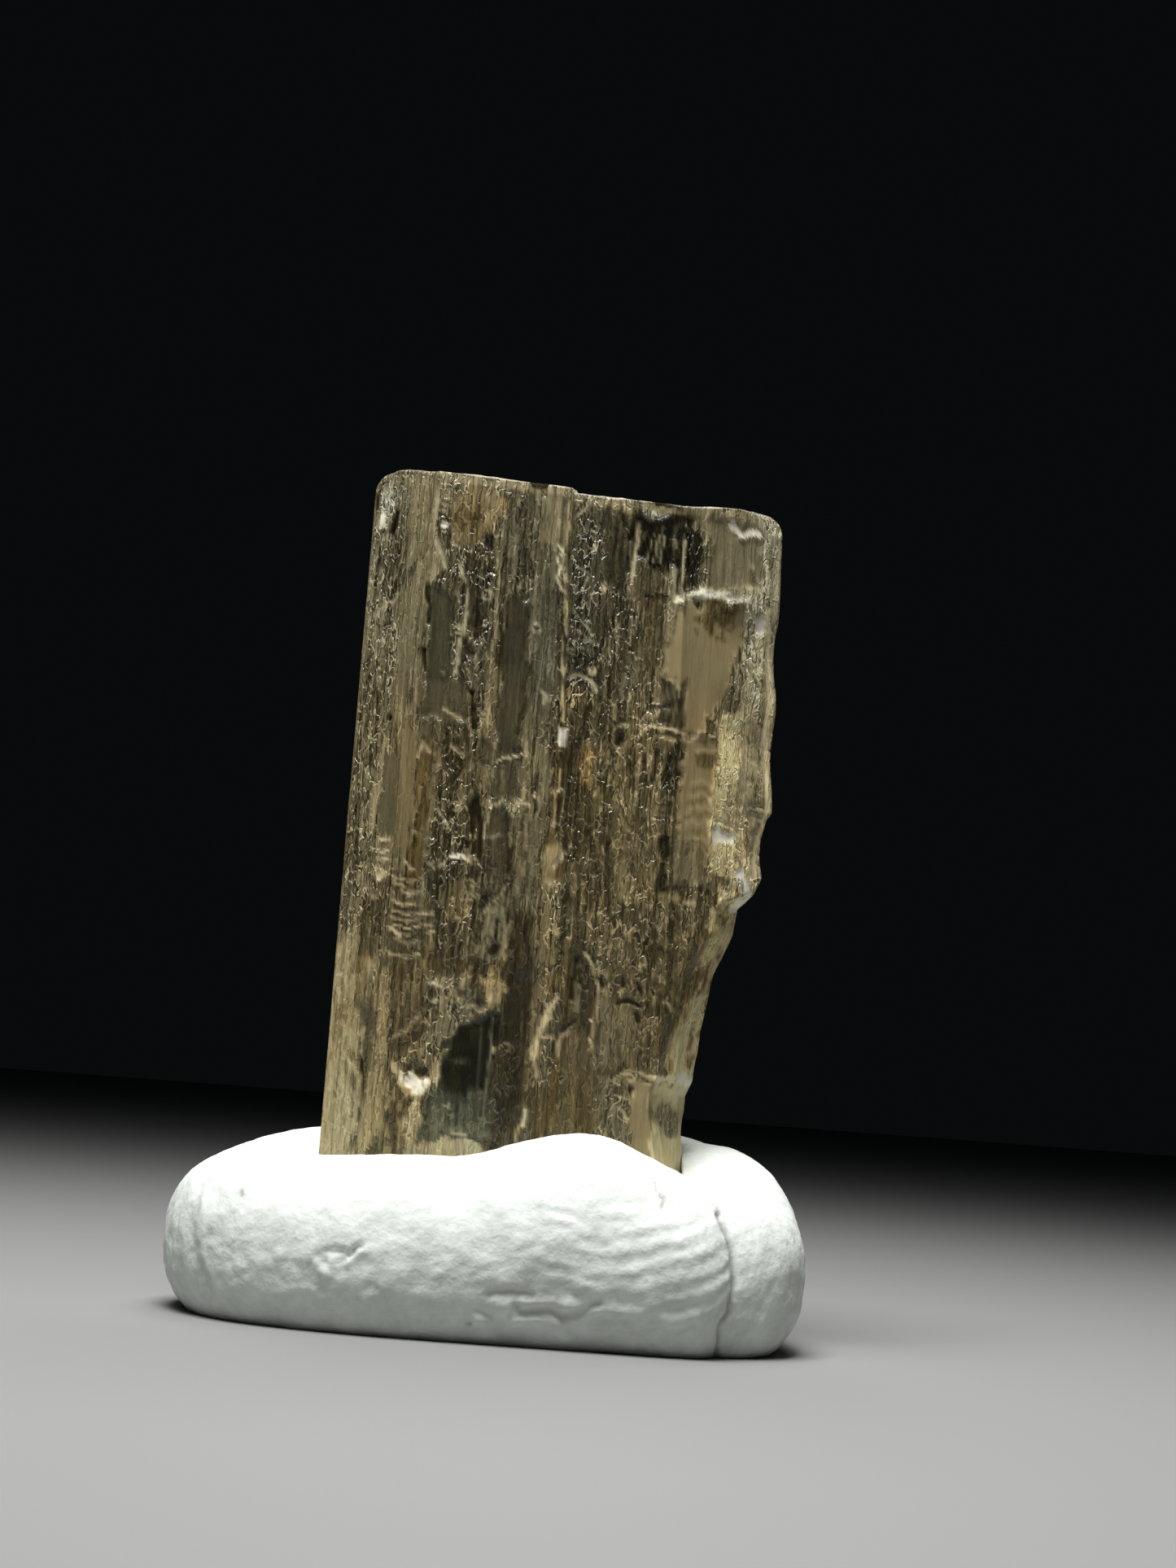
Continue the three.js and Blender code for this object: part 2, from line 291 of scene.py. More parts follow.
@dataclass(frozen=True)
class Flecks:
    """Many short straight lines strewn over an upright rectangle (x0, x1, z0, z1).

    A fleck is a third to all of the length, and leans by the slant and up to the spread beyond it
    either way, in degrees. The name's length, the count and the room pick the places.
    """

    name: str
    room: tuple[float, float, float, float]
    count: int
    length: float
    width: float
    look: Look
    slant: float = 0.0
    spread: float = 20.0
    soft: float = 0.04
    ragged: float = 0.02
    face: Face = Face.FRONT
    strength: float = 0.68
    margin: float = 0.5

    def mask(self, x: np.ndarray, z: np.ndarray) -> np.ndarray:
        """The strength on a fleck and 0 off it, read near the rectangle only."""
        x0, x1, z0, z1 = self.room
        seed = len(self.name) * 57 + self.count * 13 + x0 * 7 + z0
        total = np.zeros(x.shape)
        near = (x > x0 - self.margin) & (x < x1 + self.margin)
        near &= (z > z0 - self.margin) & (z < z1 + self.margin)
        xs, zs = x[near], z[near]
        found = np.zeros(xs.shape)
        for k in range(self.count):
            a, b, c, d = (float(scatter(seed + 4.7 * k + j)) for j in (0.1, 1.3, 2.9, 3.7))
            mid_x, mid_z = mix(x0, x1, a), mix(z0, z1, b)
            half = self.length * (0.35 + 0.65 * c) / 2
            lean = math.radians(self.slant + self.spread * (2 * d - 1))
            run = (half * math.sin(lean), half * math.cos(lean))
            ends = (mid_x - run[0], mid_z - run[1], mid_x + run[0], mid_z + run[1])
            far = nearest_run(ends, False, xs, zs)
            found = np.maximum(found, stroke(far, self.width, self.soft))
        total[near] = self.strength * found
        return total


Marks = tuple[Patch | Trail | Flecks, ...]


def cast(place: np.ndarray) -> tuple[np.ndarray, np.ndarray]:
    """Each point's (x, z) on the plane of the crystal's front as seen from EYE.

    A point's offset from the eye's x and z is scaled by the plane's distance over its own.
    """
    x0, y0, z0 = EYE
    share = (MARK_PLANE - y0) / (place[..., 1] - y0)
    return x0 + (place[..., 0] - x0) * share, z0 + (place[..., 2] - z0) * share


def block(x0: float, x1: float, z0: float, z1: float) -> tuple[float, ...]:
    """The corners of an upright rectangle."""
    return (x0, z0, x1, z0, x1, z1, x0, z1)


def arc(
    x: float, z: float, wide: float, high: float, start: float = 0, stop: float = 360
) -> tuple[float, ...]:
    """Points along a stretch of an ellipse, by angle in degrees from +X."""
    turn = np.radians(np.linspace(start, stop, ARC_POINTS))
    points = np.stack([x + wide * np.cos(turn), z + high * np.sin(turn)], axis=1)
    return tuple(points.ravel().tolist())


# White for frosted spots and cracks, and a painted highlight where the glints are, as those are
# reflections of the lamp.
WHITE_AND_GLINT = Look(1.0, 0.4, 1.0, 0.95, 0.0, 1.0)
SHEEN = Look(0.7, 0.35, 1.0, 0.8, 0.2, 0.15)
PALE = Look(0.55, 0.35, 0.95, 0.8, 0.2, 0.05)
CREAM = Look(0.63, 0.5, 0.95, 0.6, 0.3, 0.05)
SLOT = Look(0.03, 0.6, 1.0, 0.9, 0.0, 0.0, 0.04, 0.3)
DUSK = Look(0.22, 0.35, 0.45, 0.4, 0.6)
# Brown for stained lines, and painted shade along the white crescent.
STAIN_AND_SHADE = Look(0.33, 0.45, 0.8, 0.6, 0.4)
RIPPLE = Look(0.4, 0.6, 0.85, 0.8, 0.2)
FIBRE = Look(0.45, 0.1, 0.9, 0.7, 0.2)
CLEAR = Look(0.13, -0.3, 0.25, 0.93, 0.0)

BROAD_MARKS: Marks = (
    Patch("bevel_upper", block(-4.25, -3.4, 9.6, 23), Look(0.43, 0.3, 0.7, 0, 0.9)),
    Patch("bevel_lower", block(-4.8, -3.35, 1, 9.7), Look(0.6, 0.34, 0.92, 0.65, 0.5), 0.4, 0.3),
    Patch("far_left_strip", block(-4.9, -4.22, 9.6, 23), Look(0.43, 0.28, 0.8, 0.85), 0.06, 0.03),
    Patch("tan_stripe", block(-3.4, -2.6, 11.5, 21.6), Look(0.45, 0.34, 0.7, 0.3, 0.3)),
    Patch("grey_band", block(-2.6, -2, 9.6, 19), Look(0.37, 0.2, 0.5, 0.3, 0.5)),
    Patch("etched_band", block(-2, -1, 9.4, 20.3), Look(0.34, 0.25, 0.4, 0, 0.9)),
    Patch("tan_column", block(-1, -0.6, 13.6, 20.3), Look(0.43, 0.4, 0.65, 0.2, 0.4)),
    Patch("grey_stripe", block(-0.6, 0.02, 9.8, 18.8), Look(0.33, 0.15, 0.4, 0.6, 0.3)),
    Patch("olive_stripes", block(0.05, 0.75, 9.6, 20.2), Look(0.4, 0.22, 0.55, 0.25, 0.3)),
    Patch("right_striae", block(0.95, 2.7, 9.5, 21.6), Look(0.32, 0.3, 0.42, 0, 0.6)),
    Patch("right_mid", block(2.7, 5.7, 9.5, 21.6), Look(0.41, 0.42, 0.6, 0.1, 0.6)),
    Patch("low_brown", block(-2.8, 3.6, 1, 9.5), Look(0.26, 0.52, 0.55, 0.25, 0.4), 0.4, 0.3),
    Patch("low_right", block(2.2, 5.4, 6.8, 11), Look(0.31, 0.38, 0.65, 0.45, 0.9), 0.2, 0.2),
    Patch("edge_strip", block(5.6, 7.2, 11.6, 21.6), Look(0.66, 0.3, 0.95, 0.2, 0.8)),
    # The low broken right edge faces away from the lamp, so its tan is lightened there: painted light
    # over its own colour.
    Patch("low_edge", (4.7, 4, 4.4, 7, 4.45, 8, 4.68, 8.7, 4.88, 9.4, 5.08, 10.3, 5.4, 11.6, 8.5, 12,
          8.5, 4), Look(0.78, 0.85, 1, 0.1, 1), 0.08, 0.2),
)

TOP_LEFT_MARKS: Marks = (
    Patch("white_streak", (-4.05, 21.5, -3.75, 21.6, -3.72, 21.2, -3.85, 20.5, -3.9, 20.3, -4.08, 20.5,
          -4.1, 21), Look(0.6, 0.2, 1, 0.1, 1.3, 0.12)),
    Trail("streak_light", (-4, 20.6, -4.02, 20.35), 0.12, WHITE_AND_GLINT),
    Trail("bevel_dark", (-3.68, 20.75, -3.75, 20.2), 0.09, SLOT),
    Trail("bevel_slot", (-4.25, 21.1, -4.25, 20.8), 0.08, SLOT),
    Flecks("bevel_flecks", (-4.15, -3.45, 11, 20.3), 30, 0.35, 0.06, Look(0.2, 0.3, 0.5, 0.6)),
    Flecks("bevel_glitter", (-4.15, -3.4, 16.8, 20.2), 17, 0.16, 0.05, PALE, 0, 70),
    Patch("tan_plane", (-3.4, 21.6, -2.65, 21.55, -2.62, 20.4, -2.5, 19.9, -2.3, 19.5, -2.35, 19.1,
          -2.9, 19, -3.1, 19.3, -3.25, 19.9, -3.45, 20.6), Look(0.45, 0.45, 0.85, 0.6, 0.4), 0.14, 0.18),
    Trail("tan_edge", (-2.66, 21.5, -2.64, 20.4, -2.5, 19.9, -2.3, 19.4), 0.08, PALE),
    *(Trail(f"tick_{k}", (-2.5, z, -2.3, z + 0.03), 0.05, PALE)
      for k, z in enumerate((21.4, 21.28, 21.14, 21, 20.85))),
    Patch("glint_a", (-2.48, 20.45, -2.3, 20.42, -2.28, 20.55, -2.44, 20.58), WHITE_AND_GLINT, 0.04, 0.03),
    Patch("golden_patch", (-2.2, 21.4, -1.9, 21.55, -1.3, 21.5, -0.85, 21.35, -0.8, 21.1, -0.98, 20.8,
          -1, 20.35, -1.3, 20.25, -1.6, 20, -1.9, 19.95, -2.2, 20.1, -2.25, 20.5, -2.3, 20.9),
          Look(0.4, 0.7, 0.75, 0.5, 0.5), 0.1, 0.16),
    Patch("golden_core", block(-2.05, -1.5, 20.5, 21), Look(0.27, 0.9, 0.65, 0.6), 0.25, 0.2),
    Patch("golden_swirl", block(-1.4, -1.2, 20.55, 20.95), Look(0.55, 0.6, 0.9, 0.6)),
    Trail("golden_foot", (-2.2, 20.05, -1.9, 19.9, -1.6, 19.95, -1.3, 20.22, -1, 20.3), 0.05, PALE),
    Patch("dark_etched", (-1.95, 19.9, -1.5, 20, -1.25, 20.25, -1, 20.3, -1.05, 19.3, -1.5, 19.1,
          -1.75, 19.1, -1.95, 19.5), Look(0.3, 0.3, 0.35, 0, 1.1)),
    Trail("slot_a", (-1.28, 20.25, -1.26, 20), 0.08, SLOT),
    Trail("slot_b", (-1.12, 20.3, -1.1, 19.9), 0.08, SLOT),
    Patch("top_right_stripe", block(-0.8, 0, 19, 21.4), Look(0.4, 0.3, 0.55, 0.35, 0.3)),
    Flecks("top_strokes", (-0.8, 0.05, 18.8, 21.4), 22, 0.9, 0.06, DUSK, 2, 5),
    Patch("dark_holes", (-1.65, 18.9, -1.3, 18.95, -1.2, 18.7, -1.15, 18.2, -1.3, 17.6, -1.45, 17.6,
          -1.6, 18.2), Look(0.17, 0.5, 0.45, 0.5, 0.4, 0, 0.05), 0.05),
    Trail("hole_ring", arc(-1.15, 18.75, 0.1, 0.14), 0.05, PALE),
    Patch("dark_oval", (-1.6, 17.5, -1.4, 17.3, -1.45, 17, -1.65, 17.2),
          Look(0.15, 0.5, 0.5, 0.8, 0, 0, 0.05), 0.04),
    Trail("pale_squiggle", (-1.95, 19.45, -1.75, 19.1, -1.68, 18.8, -1.65, 18.2, -1.72, 17.5, -1.75, 17,
          -1.85, 16.6), 0.09, PALE),
    *(Trail(f"rung_{k}", (-1.95, z, -1.65, z + 0.05), 0.07, PALE) for k, z in enumerate((17.85, 17.65))),
    Patch("grey_window", (-2.6, 18.9, -2.3, 18.9, -2.05, 18.5, -2, 17.5, -2, 16.3, -2.1, 15.5, -2.5, 15.5,
          -2.55, 16.5, -2.5, 17.5), Look(0.31, 0.1, 0.4, 0.92, 0.1), 0.05),
    Trail("crack_a", (-2.7, 18.85, -2.7, 18.6, -2.6, 18.3, -2.62, 17.85), 0.07, SLOT),
    Trail("crack_b", (-2.68, 17.2, -2.6, 16.6), 0.06, SLOT),
    Trail("bevel_pale", (-3.45, 18.6, -3.9, 18), 0.07, PALE),
    Trail("column_dark_a", (-0.75, 19.9, -0.75, 17), 0.07, DUSK),
    Trail("column_dark_b", (-0.6, 18.6, -0.6, 16.5), 0.06, SLOT),
    Trail("column_pale", (-0.9, 19.6, -0.92, 15.2), 0.04, Look(0.47, 0.4, 0.9, 0.6), 0.05, 0.1),
    Patch("grey_window_b", block(-0.55, -0.02, 15.3, 18.6), Look(0.31, 0.1, 0.35, 0.85, 0.1), 0.06),
    Flecks("etched_flecks", (-2, -1.05, 9.6, 19.8), 35, 0.45, 0.06, Look(0.15, 0.3, 0.45, 0.6)),
    Flecks("etched_pale", (-2, -1.05, 9.6, 19.8), 23, 0.4, 0.05, Look(0.52, 0.3, 0.9, 0.7)),
)

TOP_RIGHT_MARKS: Marks = (
    Patch("olive_plane", block(0.05, 0.75, 20.15, 21.4), Look(0.42, 0.38, 0.8, 0.7, 0.1), 0.06),
    Patch("yellow_tan", block(0.45, 0.75, 19.2, 21.4), Look(0.43, 0.45, 0.8, 0.5, 0.2), 0.06),
    Flecks("olive_lines", (0.08, 0.68, 15.3, 19.5), 26, 1.3, 0.05, Look(0.27, 0.15, 0.5, 0.7), 1, 4),
    Trail("olive_ring", arc(0.2, 17.95, 0.08, 0.12), 0.05, PALE),
    Trail("olive_hook", (0.45, 16.35, 0.6, 16.25, 0.55, 16), 0.06, PALE),
    Flecks("etched_dark_a", (0.98, 1.72, 16, 21), 23, 0.3, 0.07, Look(0.13, 0.25, 0.4, 0.6), 8, 30),
    Patch("etched_zone", block(0.95, 1.75, 16, 21), Look(0.25, 0.25, 0.62, 0, 1.15)),
    Patch("striae_zone", block(1.8, 2.65, 19.2, 21.1), Look(0.22, 0.25, 0.55, 0.1, 0.5), 0.12, 0.2),
    Patch("green_clear", block(1.1, 1.7, 16.6, 17.4), Look(0.26, 0.05, 0.3, 0.3, 0.6)),
    Patch("brown_foot", block(1.2, 1.7, 16, 16.5), Look(0.34, 0.7, 0.7, 0.1, 1), 0.15, 0.2),
    Trail("pale_arch", (1.05, 16.7, 1.35, 16.85, 1.7, 16.7, 1.85, 16.5), 0.09, PALE),
    *(Trail(f"needle_{k}", path, 0.04, PALE)
      for k, path in enumerate(((1.1, 19.7, 1.4, 19.55), (1.45, 19.5, 1.35, 19.2), (1.1, 18.55, 1.55, 18),
      (1.05, 18.1, 1.4, 17.95), (1.1, 17.75, 1.6, 17.75), (1.35, 17.65, 1.6, 17.9),
      (1.05, 17.5, 1.4, 17.55)))),
    *(Patch(f"blob_{k}", arc(*oval), CREAM, 0.04)
      for k, oval in enumerate(((1.85, 19.1, 0.13, 0.14), (1.75, 16.95, 0.12, 0.17),
      (1.85, 17.3, 0.08, 0.1)))),
    Trail("suture_top", (0.8, 21.6, 0.78, 20.5, 0.76, 20, 0.78, 19.5, 0.87, 19.2, 0.9, 18.2, 0.96, 17.2,
          1.02, 16.3, 1.06, 15.6), 0.05, Look(0.62, 0.62, 1, 0.9, 0.2), 0.05, 0.05),
    Trail("suture_shade", (0.9, 21.5, 0.88, 19.6, 0.98, 19.1, 1.02, 18.2, 1.07, 17.2, 1.12, 16.3), 0.06,
          Look(0.14, 0.4, 0.8, 0.6, 0, 0, 0.04), 0.05, 0.1),
    Trail("suture_shade_b", (0.66, 21.4, 0.64, 19.6, 0.74, 18.9, 0.8, 17.4, 0.88, 16.2), 0.06,
          Look(0.22, 0.3, 0.7, 0.6)),
    Trail("suture_zigzag", (0.6, 20.2, 0.75, 20, 0.6, 19.8, 0.72, 19.6, 0.62, 19.3, 0.8, 19), 0.05,
          Look(0.75, 0.45, 1, 0.8, 0, 0.2)),
    Trail("corner_line", (1, 21, 1.33, 21.35), 0.06, PALE),
    Patch("dark_strip", block(1.77, 2, 19.8, 21), DUSK, 0.05),
    *(Trail(f"upright_{k}", (x, 21.1, x - 0.02, z), wide, look, 0.04, 0.06)
      for k, (x, z, wide, look) in enumerate(((1.93, 19.2, 0.06, DUSK), (2.06, 19.6, 0.05, STAIN_AND_SHADE),
      (2.14, 18.8, 0.05, DUSK), (2.27, 19.3, 0.07, DUSK), (2.36, 19.9, 0.04, STAIN_AND_SHADE),
      (2.42, 19.4, 0.07, DUSK), (2.52, 18.9, 0.05, PALE), (2.62, 19.3, 0.07, DUSK)))),
    Patch("pinkish", block(1.95, 2.6, 21.15, 21.4), Look(0.55, 0.45, 0.9, 0.5), 0.08),
    Patch("dark_patch", (2.3, 20.9, 2.65, 21.2, 3, 21.25, 3.4, 21.35, 3.7, 21.2, 4, 21.1, 3.95, 20.6,
          3.78, 20.4, 3.7, 20, 3.5, 19.8, 3, 19.8, 2.7, 20, 2.4, 20.3),
          Look(0.02, 0.4, 0.9, 0.8, 0.5, 0, 0.03, 0.25), 0.08, 0.24),
    Flecks("patch_blacks", (1.95, 2.7, 19.6, 21.1), 12, 1.2, 0.07, SLOT, 1, 4, 0.05, 0.05),
    Flecks("patch_flecks", (2.1, 3.7, 19.9, 21.1), 12, 0.5, 0.04, Look(0.38, 0.25, 0.9, 0.6), 3, 7, 0.05,
           0.05),
    *(Trail(f"patch_line_{k}", (top, 20.65, low, 19.9), 0.045, Look(0.45, 0.25, 0.9, 0.9), 0.03, 0.03)
      for k, (top, low) in enumerate(((3.06, 2.9), (3.2, 3.06), (3.3, 3.27)))),
    Trail("patch_edge", (2.62, 20.95, 2.6, 19.5), 0.07, PALE),
    Patch("frost_blob", (2.75, 21.2, 3.1, 21.1, 3.35, 21.3, 3.2, 21.5, 2.7, 21.45),
          Look(0.5, 0.1, 1, 0.3, 0.8, 0.1), 0.06, 0.15),
    Trail("frost_core", (3, 21.22, 3.15, 21.32, 3.3, 21.3), 0.06, WHITE_AND_GLINT),
    Patch("dark_round", (3.5, 20.9, 3.55, 21.3, 3.8, 21.4, 4.05, 21.2, 4, 20.9),
          Look(0.05, 0.8, 0.8, 0.8, 0, 0, 0.04), 0.05),
    Trail("pale_line_a", (3.85, 20.5, 3.85, 19.6, 3.72, 18.9), 0.06, PALE),
    Trail("black_line", (3.78, 20.4, 3.76, 19.2), 0.06, SLOT),
    Trail("pale_line_b", (3.65, 19.8, 3.68, 18.9), 0.05, PALE),
    Patch("rough_dark", (3.95, 20.9, 4.2, 20.7, 4.45, 20.3, 4.45, 20, 4.2, 19.7, 4.15, 19.3, 3.9, 19.3,
          3.95, 20.2), Look(0.06, 0.3, 0.8, 0.5, 1, 0, 0.03, 0.3), 0.06),
    Patch("upper_window", (4.5, 19.3, 5.85, 19.3, 5.95, 21.1, 5, 21.4, 4.3, 21.3, 4.35, 20.9, 4.55, 20.3),
          Look(0.43, 0.35, 0.85, 0.8, 0.3), 0.14, 0.2),
    Patch("light_hump", (5, 21, 5.4, 21.15, 5.9, 21, 5.9, 21.4, 5, 21.45), Look(0.58, 0.3, 0.9, 0.6),
          0.08),
    # Painted shade along the lower side of the white crescent.
    Trail("crescent_shade", (5.25, 20.85, 5.4, 20.7, 5.6, 20.74, 5.8, 20.68), 0.08, STAIN_AND_SHADE, 0.06, 0.12),
    Trail("crescent", (5.1, 21.08, 5.2, 20.92, 5.35, 20.82, 5.5, 20.84, 5.65, 20.88, 5.78, 20.86), 0.11,
          WHITE_AND_GLINT, 0.04, 0.05),
    Trail("corner_pale", (4.35, 21.35, 4.65, 21.3), 0.1, PALE),
    Patch("tan_window", (3.75, 18.9, 5.6, 18.8, 5.5, 18, 5.3, 17, 5.1, 16.5, 4.9, 16, 4.7, 15.5,
          4.3, 15.4, 4.1, 16, 4, 16.8, 3.6, 16.9, 3.65, 18), Look(0.48, 0.6, 0.88, 0.97, 0.3), 0.1, 0.18),
    Patch("brown_stain", (4.2, 18.95, 5.4, 18.9, 5.4, 18.5, 5.2, 18.3, 4.9, 18.1, 4.6, 18.4, 4.3, 18.5),
          Look(0.38, 0.75, 0.88, 0.75, 0.5), 0.14, 0.4),
    Patch("stain_core", (4.65, 18.85, 5.2, 18.8, 5.1, 18.3, 4.75, 18.25), Look(0.2, 0.8, 0.9, 0.8, 0.5),
          0.12, 0.3),
    Flecks("stain_grain", (4.2, 5.5, 18, 18.9), 22, 0.2, 0.07, Look(0.24, 0.8, 0.9, 0.8), 40, 60),
    Patch("great_crack", (3.72, 18.96, 4.1, 19, 4.4, 19.08, 4.9, 19.07, 5.3, 19.03, 5.65, 19.08,
          5.7, 19.2, 5.5, 19.22, 5.2, 19.23, 4.9, 19.32, 4.6, 19.31, 4.4, 19.33, 4.1, 19.18, 3.75, 19.08),
          Look(0.9, 0.4, 1, 0.75, 0.5, 0.5, -0.02), 0.07, 0.06),
    Patch("brown_smooth", (2.7, 19.8, 3.5, 19.8, 3.6, 19, 3.55, 17.5, 3.4, 17, 3.1, 16.9, 2.9, 17.6,
          2.75, 18.8), Look(0.28, 0.6, 0.7, 0.55, 0.4), 0.12, 0.2),
    Trail("brown_line", (3, 19.05, 3.5, 19.07), 0.05, SLOT),
    Patch("dark_arch", (3.55, 16.9, 3.9, 16.85, 4.1, 16.3, 4.2, 15.7, 3.8, 15.5, 3.6, 15.6),
          Look(0.13, 0.4, 0.7, 0.6, 0.1), 0.05, 0.08),
    Flecks("arch_lines", (3.6, 4.15, 15.6, 16.8), 12, 0.8, 0.05, Look(0.38, 0.35, 0.8, 0.7), 10, 8),
    Patch("edge_glint", (5.84, 18.3, 6, 18.22, 6.14, 18.35, 6.14, 18.7, 5.98, 18.8, 5.86, 18.6), WHITE_AND_GLINT,
          0.03, 0.06),
    Patch("edge_yellow", block(5.6, 5.8, 16.5, 17.3), Look(0.7, 0.42, 0.95, 0.5), 0.06),
    Trail("edge_swirl", (5.4, 16.05, 5.65, 16.2, 5.9, 16.15), 0.1, CREAM),
    Trail("edge_black", (5.5, 17.8, 5.5, 17.45), 0.06, SLOT),
    Patch("edge_smooth", block(6.1, 7.2, 15.5, 20.8), Look(0.5, 0.28, 0.9, 0.5, 0.6), 0.05),
    Flecks("edge_flecks", (5.6, 6.15, 14, 20.5), 19, 0.28, 0.06, Look(0.25, 0.3, 0.8, 0.7), 0, 40),
    Flecks("edge_cream", (5.55, 6.2, 14, 20.5), 15, 0.25, 0.07, CREAM, 0, 60),
    Flecks("striae_dark", (1.9, 2.75, 12, 19.2), 20, 1.2, 0.06, Look(0.16, 0.3, 0.45, 0.6), 1, 6),
    Flecks("striae_pale", (1.9, 2.75, 12, 19.2), 13, 0.9, 0.05, Look(0.52, 0.35, 0.9, 0.7), 1, 6),
)

